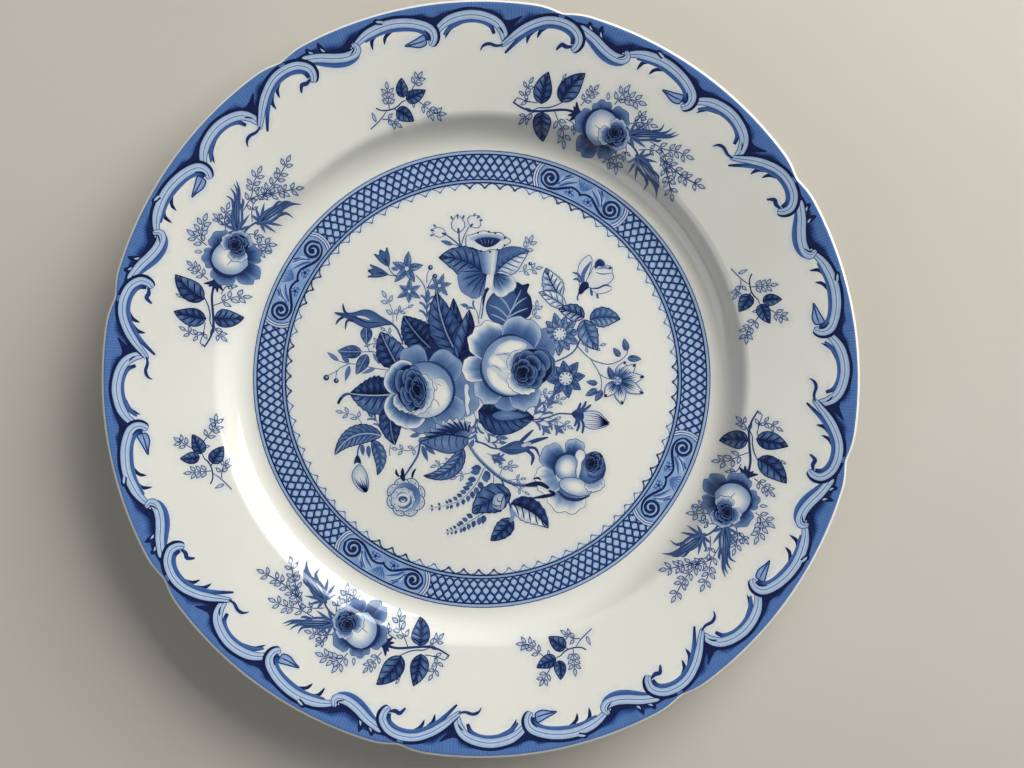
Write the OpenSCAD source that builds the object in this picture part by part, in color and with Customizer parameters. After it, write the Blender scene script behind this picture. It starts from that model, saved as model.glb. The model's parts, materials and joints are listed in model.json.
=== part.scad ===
// Transfer-printed dinner plate with a scalloped edge, standing face up on its foot ring.
// The origin is under the middle of the foot ring, on the surface that the plate stands on.
// One potted body carries a glaze, and the glaze carries the separately cut and laid prints.

/* [Plate] */
// Diameter over the lobes of the scalloped edge
plate_d = 267; // [250:1:290]
// Diameter of the flat floor of the well
well_d = 168; // [166:0.5:170]
// Diameter at which the rim starts, at the top of the booge
rim_d = 193; // [191:0.5:196]
// Height of the well's floor above the table
well_z = 6.5; // [6:0.25:8]
// Slope of the rim, in degrees
rim_slope = 13; // [9:0.5:16]
// Steepest slope of the booge between well and rim, in degrees
booge_slope = 55; // [50:1:60]

/* [Wall] */
// Thickness of the wall under the well
well_wall = 4.5; // [3.5:0.25:4.75]
// Thickness of the wall at the rounded lip
lip_wall = 3.2; // [2.6:0.1:4]
// Thickness of the fired glaze
glaze_t = 0.2; // [0.1:0.05:0.3]
// Thickness of a printed transfer
print_t = 0.08; // [0.05:0.01:0.12]

/* [Foot ring] */
// Diameter of the middle of the foot ring's standing face
foot_d = 150; // [140:1:156]
// Width of the foot ring's standing face
foot_w = 3.2; // [2.4:0.2:4.4]

/* [Scalloped edge] */
// Number of notches, evenly spaced round the edge
notch_count = 8; // [6:1:12]
// Direction of the first notch, in degrees
notch_angle = 32.3; // [0:0.1:45]
// Radius of the shoulders that turn the edge in to a notch
shoulder_r = 26; // [20:1:32]
// Angle from a notch to where its shoulders leave the edge
shoulder_angle = 4.5; // [3:0.1:5]

/* [Prints] */
// Width of the plain lip outside the border print
plain_lip = 1.8; // [1.8:0.1:4]
// Direction of the first rose spray on the rim, in degrees
spray_angle = 62.5; // [50:0.5:75]
// Direction of the first small sprig on the rim, in degrees
sprig_angle = 16; // [5:0.5:25]

/* [Hidden] */
$fn = 96;

plate_r = plate_d / 2;
well_r = well_d / 2;
rim_r = rim_d / 2;
hollow_r = 10;                                     // radius of the booge's lower, hollow curve
crest_r = 5;                                       // radius of the booge's upper curve, into the rim
ramp = (rim_r - well_r - hollow_r * sin(booge_slope) - crest_r * (sin(booge_slope) - sin(rim_slope)))
       / cos(booge_slope);                         // straight stretch between those curves
ramp_start = [well_r + hollow_r * sin(booge_slope), well_z + hollow_r * (1 - cos(booge_slope))];
ramp_end = ramp_start + ramp * [cos(booge_slope), sin(booge_slope)];
crest_centre = ramp_end + crest_r * [sin(booge_slope), -cos(booge_slope)];
rim_z = crest_centre.y + crest_r * cos(rim_slope);
rim_wall = (well_wall + lip_wall) / 2;
lip_r = lip_wall / 2;
lip_x = plate_r - lip_r;
lip_face_x = lip_x - lip_r * sin(rim_slope);       // where the flat of the rim meets the round lip
lip_z = face_z(lip_face_x) - lip_r * cos(rim_slope);
curve_steps = 6;

under_z = well_z - well_wall;
foot_flare = 1.1;                                  // how far each side of the foot leans, foot to wall
foot_in_r = (foot_d - foot_w) / 2;
foot_out_r = (foot_d + foot_w) / 2;
wiped_z = 0.5;                                     // the glaze is wiped off the foot below this height
inside_wall_z = under_z + 1;                       // a height that lies inside the wall of the well

rim_scale = (plate_r - rim_r) / 37;                // rim prints follow the width of the rim
well_scale = well_r / 84;                          // well prints follow the size of the well
stroke = 0.7;                                      // width of a drawn line
hairline = 0.1;                                    // half the width of a leaf's tip
leaf_steps = 7;

// Height of the rim's flat face at a radius
function face_z(r) = rim_z + (r - rim_r) * tan(rim_slope);
// Steps of a curve from one tangent angle to another
function steps(from, to) = [for (i = [0:curve_steps]) from + (to - from) * i / curve_steps];
// Points of the booge's two curves, sunk below the face along its normal
function hollow(t, sunk) =
    [well_r, well_z + hollow_r] + (hollow_r + sunk) * [sin(t), -cos(t)];
function crest(t, sunk) = crest_centre + (crest_r - sunk) * [-sin(t), cos(t)];
function lip(t, sunk) = [lip_x, lip_z] + (lip_r - sunk) * [-sin(t), cos(t)];
function hollow_wall(t) = well_wall + (rim_wall - well_wall) * t / booge_slope;

// Half section of the plate, all surfaces but the foot's sunk by the same amount.
// The foot's sides are moved out, and its lower end is cut off at a height.
module section(sunk, foot_out, foot_low_z) {
    wall_low_z = under_z + sunk;
    low_lean = foot_flare * foot_low_z / under_z;
    high_lean = foot_flare * wall_low_z / under_z;
    polygon(concat(
        [[0, well_z - sunk]],
        [for (t = steps(0, booge_slope)) hollow(t, sunk)],
        [for (t = steps(booge_slope, rim_slope)) crest(t, sunk)],
        [for (t = steps(rim_slope, -90)) lip(t, sunk)],
        [for (t = steps(-90, rim_slope - 180)) lip(t, sunk)],
        [for (t = steps(rim_slope, booge_slope)) crest(t, rim_wall - sunk)],
        [for (t = steps(booge_slope, 0)) hollow(t, hollow_wall(t) - sunk)],
        [[foot_out_r + high_lean + foot_out, wall_low_z],
         [foot_out_r + low_lean + foot_out, foot_low_z],
         [foot_in_r - low_lean - foot_out, foot_low_z],
         [foot_in_r - high_lean - foot_out, wall_low_z],
         [0, wall_low_z]]));
}

module biscuit_section() {
    section(glaze_t, 0, 0);
}

module glazed_section() {
    section(0, glaze_t, wiped_z);
}

// Seen from above: a circle with a cusped notch between each two lobes
module scalloped_outline(inset) {
    difference() {
        circle(r = plate_r - inset, $fn = 360);
        for (i = [0:notch_count - 1]) rotate(notch_angle + 360 * i / notch_count) notch(inset);
    }
}

module notch(inset) {
    reach = plate_r + 5;
    difference() {
        polygon([
            [plate_r - 12, 0],
            [reach * cos(shoulder_angle), -reach * sin(shoulder_angle)],
            [reach * cos(shoulder_angle), reach * sin(shoulder_angle)]]);
        for (side = [-1, 1]) rotate(side * shoulder_angle) translate([plate_r - shoulder_r, 0])
            circle(r = shoulder_r - inset);
    }
}

module scalloped_column(inset) {
    linear_extrude(plate_d / 4) scalloped_outline(inset);
}

module fired_wall() {
    intersection() {
        rotate_extrude() biscuit_section();
        scalloped_column(glaze_t);
    }
}

module biscuit_body() {
    color("wheat") fired_wall();
}

module glaze_coat() {
    color("ivory") difference() {
        intersection() {
            rotate_extrude() glazed_section();
            scalloped_column(0);
        }
        fired_wall();
        cylinder(r = foot_d / 2, h = inside_wall_z);
    }
}

module glaze_recess() {
    color("ivory") rotate_extrude() intersection() {
        difference() {
            glazed_section();
            biscuit_section();
        }
        square([foot_d / 2, inside_wall_z]);
    }
}

// Lays flat artwork on the floor of the well
module on_well() {
    translate([0, 0, well_z]) linear_extrude(print_t) children();
}

// Lays flat artwork on the slope of the rim
module on_rim() {
    inner = rim_r + 0.3;
    intersection() {
        rotate_extrude() polygon([
            [inner, face_z(inner)],
            [lip_face_x, face_z(lip_face_x)],
            [lip_face_x, face_z(lip_face_x) + print_t],
            [inner, face_z(inner) + print_t]]);
        linear_extrude(plate_d / 4) children();
    }
}

module place(x, y, angle) {
    translate([x, y]) rotate(angle) children();
}

// Closed band between a line of points and the same points moved down by twice their half width
module band(middle, half_width) {
    last = len(middle) - 1;
    polygon(concat(
        [for (i = [0:last]) middle[i] + [0, half_width[i]]],
        [for (i = [last:-1:0]) middle[i] - [0, half_width[i]]]));
}

// A pointed leaf from the origin along +X, with blunt ends as wide as a hairline
module leaf(length, width) {
    t = [for (i = [0:leaf_steps]) i / leaf_steps];
    band([for (u = t) [length * u, 0]], [for (u = t) hairline + width / 2 * sin(180 * u)]);
}

// Height of a bowed stalk above its chord, at a fraction of its length
function bow_height(bow, u) = 4 * bow * u * (1 - u);

// A stalk from the origin to a point along +X, bowed to one side
module stalk(length, bow) {
    t = [for (i = [0:leaf_steps]) i / leaf_steps];
    band([for (u = t) [length * u, bow_height(bow, u)]], [for (u = t) stroke / 2]);
}

// A rose seen from the front: a heart in a ring of petals
module rose(r, petals) {
    circle(r = r * 0.7);
    for (i = [0:petals - 1]) rotate(360 * i / petals) translate([r * 0.62, 0]) circle(r = r * 0.38);
}

// A flower with pointed petals that start inside its heart
module star_flower(r, petals) {
    circle(r = r * 0.3);
    for (i = [0:petals - 1]) rotate(360 * i / petals) translate([r * 0.15, 0]) leaf(r * 0.85, r * 0.42);
}

// A stalk with pairs of small leaves that start inside it
module twig(length, pairs) {
    bow = length * 0.12;
    stalk(length, bow);
    for (i = [1:pairs], side = [-1, 1]) {
        u = i / (pairs + 0.6);
        place(length * u, bow_height(bow, u), side * 48) leaf(length * 0.26, length * 0.12);
    }
}

// One rose spray, its rose at the origin and its stem end along +X
module rose_spray() {
    rose(5.6, 7);
    place(4, 0, 8) stalk(15, 1.4);
    place(11, 1.5, 75) leaf(7.5, 4.2);
    place(14, 1.5, 20) leaf(8, 4.2);
    place(11, 0.5, -72) leaf(7.5, 4.2);
    place(-5, 0, 172) stalk(15, 1.4);
    place(-9, -1.2, 205) leaf(10, 3.6);
    place(-8, -2.4, 238) leaf(10, 3.6);
    place(-4, 2.5, 152) twig(16, 3);
    place(-1, 4, 118) twig(9, 2);
    place(1, -4, -60) twig(8, 2);
}

// One small sprig, its middle leaf at the origin and its stem end along +X
module small_sprig() {
    place(0, 0, 180) stalk(9, 1.1);
    place(0, 0, 5) stalk(7, 0.8);
    place(-1, 0.4, 100) leaf(5, 2.9);
    place(1.6, -0.2, -84) leaf(5, 2.9);
    place(3, 0.4, 24) leaf(5, 2.9);
    place(-2.5, -0.4, 218) twig(8, 2);
    place(-4.5, 0.6, 158) twig(7, 2);
}

module rose_spray_print(i) {
    color("royalblue") on_rim() rotate(spray_angle + 90 * i)
        translate([rim_r + 12.3 * rim_scale, 0]) rotate(90) scale(rim_scale * 0.92) rose_spray();
}

module sprig_print(i) {
    color("royalblue") on_rim() rotate(sprig_angle + 90 * i)
        translate([rim_r + 8.5 * rim_scale, 0]) rotate(90) scale(rim_scale * 0.9) small_sprig();
}

// The border's scrolls are arches: [middle, half width, gap between the crown and the plate's edge]
border_arches = [[0.5, 7.4, 5.3], [15, 7.6, 5.6], [34.5, 8.4, 4.8]];
valley_r = rim_r + 25.5 * rim_scale;               // inner edge of the ground between the arches

// Radius of the arch whose crown rises above the valley line by the given amount
function arch_r(half_width, rise) = (pow(valley_r * sin(half_width), 2) + rise * rise) / (2 * rise);

module arch(spec, inset) {
    rise = plate_r - spec[2] * rim_scale - valley_r;
    r = arch_r(spec[1], rise);
    rotate(notch_angle + 0.7 + spec[0]) translate([valley_r + rise - r, 0]) circle(r = r - inset);
}

module border_scrolls() {
    for (spec = border_arches) difference() {
        arch(spec, 1.6);
        arch(spec, 2.9);
        circle(r = valley_r - 1.5 * rim_scale);
    }
}

module border_print() {
    color("mediumblue") on_rim() for (i = [0:7]) rotate(45 * i) intersection() {
        union() {
            difference() {
                scalloped_outline(plain_lip);
                circle(r = valley_r);
                for (turn = [-45, 0, 45], spec = border_arches) rotate(turn) arch(spec, 0);
            }
            border_scrolls();
        }
        border_cell();
    }
}

// The eighth of the plate that one repeat of the border fills
module border_cell() {
    start = notch_angle - 8;
    reach = plate_d;
    polygon([[0, 0], reach * [cos(start), sin(start)], reach * [cos(start + 45), sin(start + 45)]]);
}

verge_out_r = well_r - 0.8;
verge_line_w = 0.6;
lattice_out_r = well_r - 2;
lattice_in_r = well_r - 12.4;
tooth_tip_r = well_r - 14.6;
teeth = 80;
cartouche_angle = 61.9;
cartouche_half = 12.5;

module ring(outer, inner) {
    difference() {
        circle(r = outer, $fn = 240);
        circle(r = inner, $fn = 240);
    }
}

module tooth() {
    half = 1.5;
    polygon([[tooth_tip_r, 0], [lattice_in_r + 0.3, -half], [lattice_in_r + 0.3, half]]);
}

// A panel between the two bracket lines of a cartouche
module cartouche_window() {
    reach = plate_d;
    intersection() {
        ring(lattice_out_r - 0.9, lattice_in_r + 1.2);
        polygon([[0, 0],
            reach * [cos(cartouche_half), -sin(cartouche_half)],
            reach * [cos(cartouche_half), sin(cartouche_half)]]);
    }
}

module cartouche_scroll() {
    mid_r = (lattice_out_r + lattice_in_r) / 2;
    for (side = [-1, 1]) {
        rotate(side * 8.6) translate([mid_r, 0]) difference() {
            circle(r = 3);
            circle(r = 1.9);
        }
        rotate(side * 1.5) translate([mid_r - 3, 0]) rotate(side * 48) leaf(7.5, 2);
        rotate(side * 4.6) translate([mid_r - 2.6, 0]) rotate(side * 20) leaf(6, 1.6);
    }
}

module verge_print() {
    color("mediumblue") on_well() {
        ring(verge_out_r, verge_out_r - verge_line_w);
        difference() {
            ring(lattice_out_r, lattice_in_r);
            for (i = [0:3]) rotate(cartouche_angle + 90 * i) cartouche_window();
        }
        for (i = [0:3]) rotate(cartouche_angle + 90 * i) cartouche_scroll();
        for (i = [0:teeth - 1]) rotate(3.6 + 360 * i / teeth) tooth();
    }
}

// Artwork in the middle of the well: each list gives [x, y, direction, size]
bouquet_roses = [[12, 6, 0, 15.5], [-21, -3.5, 15, 12.5], [34, -34, 0, 11], [-27, -43, 0, 7]];
bouquet_stars = [[50, 0, 10, 7.5], [29, 16, 0, 6.5], [31.5, 1, 30, 6], [-26.5, 41, 0, 5.5], [2.5, 44, 10, 11]];
bouquet_leaves = [[-10, 11, 110, 15], [-14, 9, 75, 14], [2, 19, 70, 16], [-3, 19, 110, 13],
    [-31, 3, 150, 16], [-34, -4, 200, 15], [-30, 12, 130, 10], [-9, -15, 200, 15], [-8, -24, 215, 14],
    [-30, -14, 250, 13], [-36, -18, 190, 13], [-38, -24, 260, 12], [6, -12, -20, 15], [4, -40, 270, 10],
    [8, -48, 270, 11], [13, -46, -25, 12], [38, 22, 20, 10], [27, 32, 100, 9], [45, 10, 25, 9]];
bouquet_twigs = [[-34, 20, 165, 20], [-30, 29, 120, 18], [-40, 2, 185, 18], [-12, -28, 235, 24],
    [-8, -36, 262, 22], [20, 24, 75, 14], [40, 4, 60, 14], [16, 44, 60, 12], [-14, 48, 120, 13],
    [37, -16, 15, 16], [14, -20, -30, 20], [36, 30, 40, 18], [-18, 38, 100, 14], [16, -24, 10, 16]];

module bouquet_print() {
    color("royalblue") on_well() scale(well_scale) {
        for (p = bouquet_roses) place(p[0], p[1], p[2]) rose(p[3], 9);
        for (p = bouquet_stars) place(p[0], p[1], p[2]) star_flower(p[3], 6);
        for (p = bouquet_leaves) place(p[0], p[1], p[2]) leaf(p[3], p[3] * 0.5);
        for (p = bouquet_twigs) place(p[0], p[1], p[2]) twig(p[3], 3);
    }
}

biscuit_body();
glaze_coat();
glaze_recess();
border_print();
verge_print();
bouquet_print();
rose_spray_print(0);  // rose_spray_print_1
rose_spray_print(1);  // rose_spray_print_2
rose_spray_print(2);  // rose_spray_print_3
rose_spray_print(3);  // rose_spray_print_4
sprig_print(0);  // sprig_print_1
sprig_print(1);  // sprig_print_2
sprig_print(2);  // sprig_print_3
sprig_print(3);  // sprig_print_4
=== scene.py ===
"""A transfer-printed dinner plate: a glazed body, and its cobalt prints as thin layers of ink."""

import cmath
import json
import math

import bpy
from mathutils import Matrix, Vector

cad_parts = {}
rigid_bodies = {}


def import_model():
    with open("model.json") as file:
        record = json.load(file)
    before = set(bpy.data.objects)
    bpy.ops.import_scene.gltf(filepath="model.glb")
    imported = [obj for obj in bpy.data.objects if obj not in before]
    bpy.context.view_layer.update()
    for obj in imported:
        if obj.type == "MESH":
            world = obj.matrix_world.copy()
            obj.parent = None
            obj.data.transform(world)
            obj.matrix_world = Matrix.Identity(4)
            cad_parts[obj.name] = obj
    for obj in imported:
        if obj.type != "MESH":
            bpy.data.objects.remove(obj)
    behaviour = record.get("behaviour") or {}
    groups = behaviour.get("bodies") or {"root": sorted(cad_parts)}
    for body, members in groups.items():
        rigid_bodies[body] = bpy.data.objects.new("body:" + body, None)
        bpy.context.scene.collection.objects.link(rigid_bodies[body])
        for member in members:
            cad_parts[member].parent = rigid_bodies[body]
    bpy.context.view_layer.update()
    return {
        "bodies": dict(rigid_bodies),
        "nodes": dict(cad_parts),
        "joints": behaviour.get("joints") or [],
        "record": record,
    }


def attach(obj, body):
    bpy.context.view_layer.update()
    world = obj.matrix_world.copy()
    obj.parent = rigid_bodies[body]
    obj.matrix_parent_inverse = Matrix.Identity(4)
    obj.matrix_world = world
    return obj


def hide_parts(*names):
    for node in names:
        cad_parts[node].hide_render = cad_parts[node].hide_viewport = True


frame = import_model()

MM = 0.001
TAU = 2 * math.pi

# The plate's section, in millimetres, as the CAD has it.
PLATE_R = 133.5
WELL_R = 84.0
WELL_Z = 6.5
RIM_R = 96.5
RIM_SLOPE = 13.0
BOOGE_SLOPE = 55.0
HOLLOW_R = 10.0
CREST_R = 5.0
WELL_WALL = 4.5
LIP_WALL = 3.2
GLAZE = 0.2
FOOT_IN_R = 73.4
FOOT_OUT_R = 76.6
FOOT_FLARE = 1.1
FOOT_FILLET = 0.9           # rounding where the foot meets the underside
FOOT_ROUND = 0.35           # rounding of the foot's standing edges
WIPED_Z = 0.5               # the glaze is wiped off the foot below this height

# The scalloped edge.
NOTCH_COUNT = 8
NOTCH_ANGLE = 32.3
SHOULDER_R = 26.0
SHOULDER_ANGLE = 4.5
NOTCH_ROUND_ANGLE = 0.5     # rounds the bottom of each notch
SCALLOP_FROM = 118.0        # the section is drawn in to the scalloped edge from this radius outwards

SEGMENTS = 720              # steps round the plate
INK_BASE = 12e-6            # height of the lowest ink above the glaze, in metres
INK_STEP = 5e-6             # height of one layer of ink above the next
CURVE_STEP = 0.3            # longest side of a patch of ink where the booge curves
ONE_POINT = 1e-4            # points of ink that are closer than this are one
NO_AREA = 1e-6              # twice the area below which a patch of ink is left out


# ---------------------------------------------------------------- the plate's surface

def arc_point(centre, radius, degrees):
    """A point of a curve in the section, where degrees is the slope of the curve there."""
    t = math.radians(degrees)
    return (centre[0] - radius * math.sin(t), centre[1] + radius * math.cos(t))


def arc(centre, radius, start, stop, steps):
    """Points along a curve in the section, between two slopes."""
    return [arc_point(centre, radius, start + (stop - start) * k / steps) for k in range(steps + 1)]


SIN_B, COS_B = math.sin(math.radians(BOOGE_SLOPE)), math.cos(math.radians(BOOGE_SLOPE))
SIN_R, COS_R = math.sin(math.radians(RIM_SLOPE)), math.cos(math.radians(RIM_SLOPE))
RAMP = (RIM_R - WELL_R - HOLLOW_R * SIN_B - CREST_R * (SIN_B - SIN_R)) / COS_B
HOLLOW = (WELL_R, WELL_Z + HOLLOW_R)
RAMP_START = (WELL_R + HOLLOW_R * SIN_B, WELL_Z + HOLLOW_R * (1 - COS_B))
RAMP_END = (RAMP_START[0] + RAMP * COS_B, RAMP_START[1] + RAMP * SIN_B)
CREST = (RAMP_END[0] + CREST_R * SIN_B, RAMP_END[1] - CREST_R * COS_B)
RIM_Z = CREST[1] + CREST_R * COS_R
RIM_WALL = (WELL_WALL + LIP_WALL) / 2
LIP_R = LIP_WALL / 2
LIP_X = PLATE_R - LIP_R
LIP_FACE_X = LIP_X - LIP_R * SIN_R
LIP_Z = RIM_Z + (LIP_FACE_X - RIM_R) * SIN_R / COS_R - LIP_R * COS_R


def face_height(r):
    """Height of the plate's face at a radius of the plain section."""
    if r <= WELL_R:
        return WELL_Z
    if r <= RAMP_START[0]:
        return HOLLOW[1] - math.sqrt(HOLLOW_R ** 2 - (r - WELL_R) ** 2)
    if r <= RAMP_END[0]:
        return RAMP_START[1] + (r - RAMP_START[0]) * SIN_B / COS_B
    if r <= RIM_R:
        return CREST[1] + math.sqrt(CREST_R ** 2 - (CREST[0] - r) ** 2)
    if r <= LIP_FACE_X:
        return RIM_Z + (r - RIM_R) * SIN_R / COS_R
    return LIP_Z + math.sqrt(max(LIP_R ** 2 - (r - LIP_X) ** 2, 0))


def edge_radius(degrees):
    """Radius of the scalloped edge in a direction."""
    pitch = 360 / NOTCH_COUNT
    off = abs((degrees - NOTCH_ANGLE + pitch / 2) % pitch - pitch / 2)
    off = math.hypot(off, NOTCH_ROUND_ANGLE)
    if off >= SHOULDER_ANGLE:
        return PLATE_R
    turn = math.radians(SHOULDER_ANGLE - off)
    arm = PLATE_R - SHOULDER_R
    return arm * math.cos(turn) + math.sqrt(SHOULDER_R ** 2 - (arm * math.sin(turn)) ** 2)


def drawn_in(degrees):
    """How much the outer part of the section is drawn in, in a direction."""
    return (edge_radius(degrees) - SCALLOP_FROM) / (PLATE_R - SCALLOP_FROM)


def on_face(z, lift):
    """The point of the face over a flat point z, in metres, lifted straight up."""
    r = abs(z)
    if r > SCALLOP_FROM:
        r = SCALLOP_FROM + (r - SCALLOP_FROM) / drawn_in(math.degrees(cmath.phase(z)))
    return (z.real * MM, z.imag * MM, face_height(min(r, PLATE_R)) * MM + lift)


# ---------------------------------------------------------------- drawing tools
# Artwork is drawn flat, in millimetres on the plate's plane, with points as complex numbers.
# A tone runs from 0, bare glaze, to 1, the darkest cobalt.

def mix(a, b, t):
    """What lies the share t of the way from a to b."""
    return a + (b - a) * t


def ease(t):
    """A share that starts and stops gently."""
    t = min(max(t, 0.0), 1.0)
    return t * t * (3 - 2 * t)


def polar(radius, degrees):
    """The point at a radius in a direction."""
    return cmath.rect(radius, math.radians(degrees))


def even(amount):
    """An amount that is the same all over."""
    return lambda *place: amount


def fade(middle, rim):
    """A tone that runs evenly from the middle of a shape to its rim."""
    return lambda s, angle: mix(middle, rim, s)


def bloom(middle, rim, power=1):
    """A tone that keeps close to the middle's until near the rim of a shape."""
    return lambda s, angle: mix(middle, rim, ease(s) ** power)


def oval(centre, width, height, count, frame=1):
    """Points round an ellipse with these half-axes, turned by the unit number frame."""
    angles = (TAU * k / count for k in range(count))
    return [centre + frame * complex(width * math.cos(a), height * math.sin(a)) for a in angles]


def circle(centre, radius, count):
    """Points round a circle."""
    return [centre + polar(radius, 360 / count * k) for k in range(count)]


def smooth(points, steps=5, closed=False):
    """A Catmull-Rom curve through the points."""
    n = len(points)
    curve = []
    for i in range(n if closed else n - 1):
        if closed:
            p, a, b, q = (points[(i + k) % n] for k in (-1, 0, 1, 2))
        else:
            p, a, b, q = (points[min(max(i + k, 0), n - 1)] for k in (-1, 0, 1, 2))
        for k in range(steps):
            t = k / steps
            curve.append(0.5 * (2 * a + (b - p) * t + (2 * p - 5 * a + 4 * b - q) * t ** 2
                                + (3 * a - p - 3 * b + q) * t ** 3))
    return curve if closed else curve + [points[-1]]


def normals(path):
    """Unit normals to the left of a path."""
    last = len(path) - 1
    result = []
    for i in range(len(path)):
        along = path[min(i + 1, last)] - path[max(i - 1, 0)]
        result.append(1j * along / (abs(along) or 1))
    return result


def upward(points, face):
    """The face without repeated points and turned to face up, or nothing if it has no area."""
    kept = [k for k in range(4) if abs(points[k] - points[k - 1]) > ONE_POINT]
    if len(kept) < 3:
        return ()
    area = sum((points[kept[k - 1]].conjugate() * points[kept[k]]).imag for k in range(len(kept)))
    if abs(area) < NO_AREA:
        return ()
    return tuple(face[k] for k in (kept if area > 0 else reversed(kept)))


class Print:
    """Patches of ink, each lifted one step above whatever it covers."""

    CELL = 0.4              # side of the cells in which the layers are counted

    def __init__(self, name):
        self.name = name
        self.place = lambda z: z
        self.points, self.tones, self.levels, self.faces = [], [], [], []
        self.covered = {}
        self.fresh = {}

    def settle(self):
        """What comes next lies above all that has been drawn so far."""
        self.covered.update(self.fresh)
        self.fresh = {}

    def patch(self, rows, tones):
        """Adds a grid of points, given as equally long rows."""
        width = len(rows[0])
        points = [self.place(z) for row in rows for z in row]
        faces = []
        cells = set()
        for i in range(len(rows) - 1):
            for j in range(width - 1):
                corner = i * width + j
                quad = (corner, corner + 1, corner + width + 1, corner + width)
                face = upward([points[k] for k in quad], quad)
                if not face:
                    continue
                faces.append(face)
                xs = [points[k].real / self.CELL for k in face]
                ys = [points[k].imag / self.CELL for k in face]
                cells.update((x, y) for x in range(math.floor(min(xs)), math.floor(max(xs)) + 1)
                             for y in range(math.floor(min(ys)), math.floor(max(ys)) + 1))
        level = 1 + max((self.covered.get(cell, 0) for cell in cells), default=0)
        for cell in cells:
            self.fresh[cell] = max(level, self.fresh.get(cell, 0))
        start = len(self.points)
        self.points += points
        self.tones += [t for row in tones for t in row]
        self.levels += [level] * len(points)
        self.faces += [tuple(start + k for k in face) for face in faces]

    def bleed(self, strength=0.1, grid=1.0, outer=math.inf):
        """Cobalt that has run a little in the glaze: a faint haze, out to the radius outer."""
        self.settle()
        inked = {}
        for x, y in self.covered:
            cell = (math.floor(x * self.CELL / grid), math.floor(y * self.CELL / grid))
            inked[cell] = inked.get(cell, 0) + (self.CELL / grid) ** 2
        spread = 2.6
        around = [(dx, dy, max(1 - math.hypot(dx - 0.5, dy - 0.5) / spread, 0))
                  for dx in range(-1, 3) for dy in range(-1, 3)]
        whole = sum(fall for dx, dy, fall in around)
        haze = {}
        for (x, y), share in inked.items():
            for dx, dy, fall in around:
                corner = (x + dx, y + dy)
                haze[corner] = haze.get(corner, 0) + share * fall / whole
        corners = [corner for corner in haze if math.hypot(*corner) * grid < outer]
        number = {corner: len(self.points) + n for n, corner in enumerate(corners)}
        self.points += [complex(*corner) * grid for corner in corners]
        self.tones += [strength * min(haze[corner], 1) for corner in corners]
        self.levels += [0] * len(corners)
        for x, y in corners:
            square = [(x, y), (x + 1, y), (x + 1, y + 1), (x, y + 1)]
            if all(corner in number for corner in square):
                self.faces.append(tuple(number[corner] for corner in square))

    def ribbon(self, path, width, tone, sides=(-1, 0, 1)):
        """A band along a path. Width depends on the way along it, and tone on that and the side."""
        last = len(path) - 1
        rows, tones = [], []
        for i, (point, normal) in enumerate(zip(path, normals(path))):
            t = i / last
            rows.append([point + normal * side * width(t) / 2 for side in sides])
            tones.append([tone(t, side) for side in sides])
        self.patch(rows, tones)

    def line(self, points, width=0.35, tone=0.85, start=0.3, end=0.3, steps=4, settle=True):
        """A drawn line through the points, thinned at its ends to these shares of its width."""
        if settle:
            self.settle()

        def swell(t):
            rise = min(t / 0.35, 1.0)
            fall = min((1 - t) / 0.35, 1.0)
            return width * min(mix(start, 1, rise), mix(end, 1, fall))
        self.ribbon(smooth(points, steps), swell, even(tone), (-1, 1))

    def shape(self, outline, tone, focus=None, rings=4, steps=4, edge=None, edge_width=0.3):
        """A filled outline. Tone is a function of the way out from the focus and of the direction."""
        curve = smooth(outline, steps, closed=True)
        curve.append(curve[0])
        centre = sum(outline) / len(outline) if focus is None else focus
        rows, tones = [], []
        for i in range(rings + 1):
            s = i / rings
            rows.append([mix(centre, z, s) for z in curve])
            tones.append([tone(s, math.degrees(cmath.phase(z - centre))) for z in curve])
        self.settle()
        self.patch(rows, tones)
        self.settle()
        if edge is not None:
            self.ribbon(curve, even(edge_width), even(edge), (-1, 1))

    def dot(self, centre, radius, tone=0.95, sides=8):
        self.settle()
        self.patch([[centre] * (sides + 1),
                    [centre + polar(radius, 360 * k / sides) for k in range(sides + 1)]],
                   [[tone] * (sides + 1)] * 2)

    def leaf(self, base, tip, width, bend=0.0, near=0.75, far=0.6, rib=0.3, veins=5, teeth=0,
             vein=0.97, edge=0.95, full=0.75):
        """A leaf with a half on the left of its rib (near) and a half on the right (far)."""
        axis = tip - base
        steps = 14 if abs(axis) > 6 else 8
        rib_line = [base + axis * (k / steps) + 1j * axis * bend * 4 * (k / steps) * (1 - k / steps)
                    for k in range(steps + 1)]
        across = normals(rib_line)

        def reach(t):
            bite = 1 - 0.12 * (t * teeth % 1.0) if teeth else 1.0
            return width / 2 * max(math.sin(math.pi * t ** full), 0.0) ** 0.85 * bite

        def at(t, side, share):
            x = t * steps
            i = min(int(x), steps - 1)
            point = mix(rib_line[i], rib_line[i + 1], x - i)
            normal = mix(across[i], across[i + 1], x - i)
            return point + side * normal * share * reach(t)

        def tone(body, shade, k):
            ripple = 0.07 * math.cos(TAU * (veins + 0.6) * k / fine)
            return mix(body + 0.06, body - 0.08, k / fine) + shade + ripple

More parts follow.
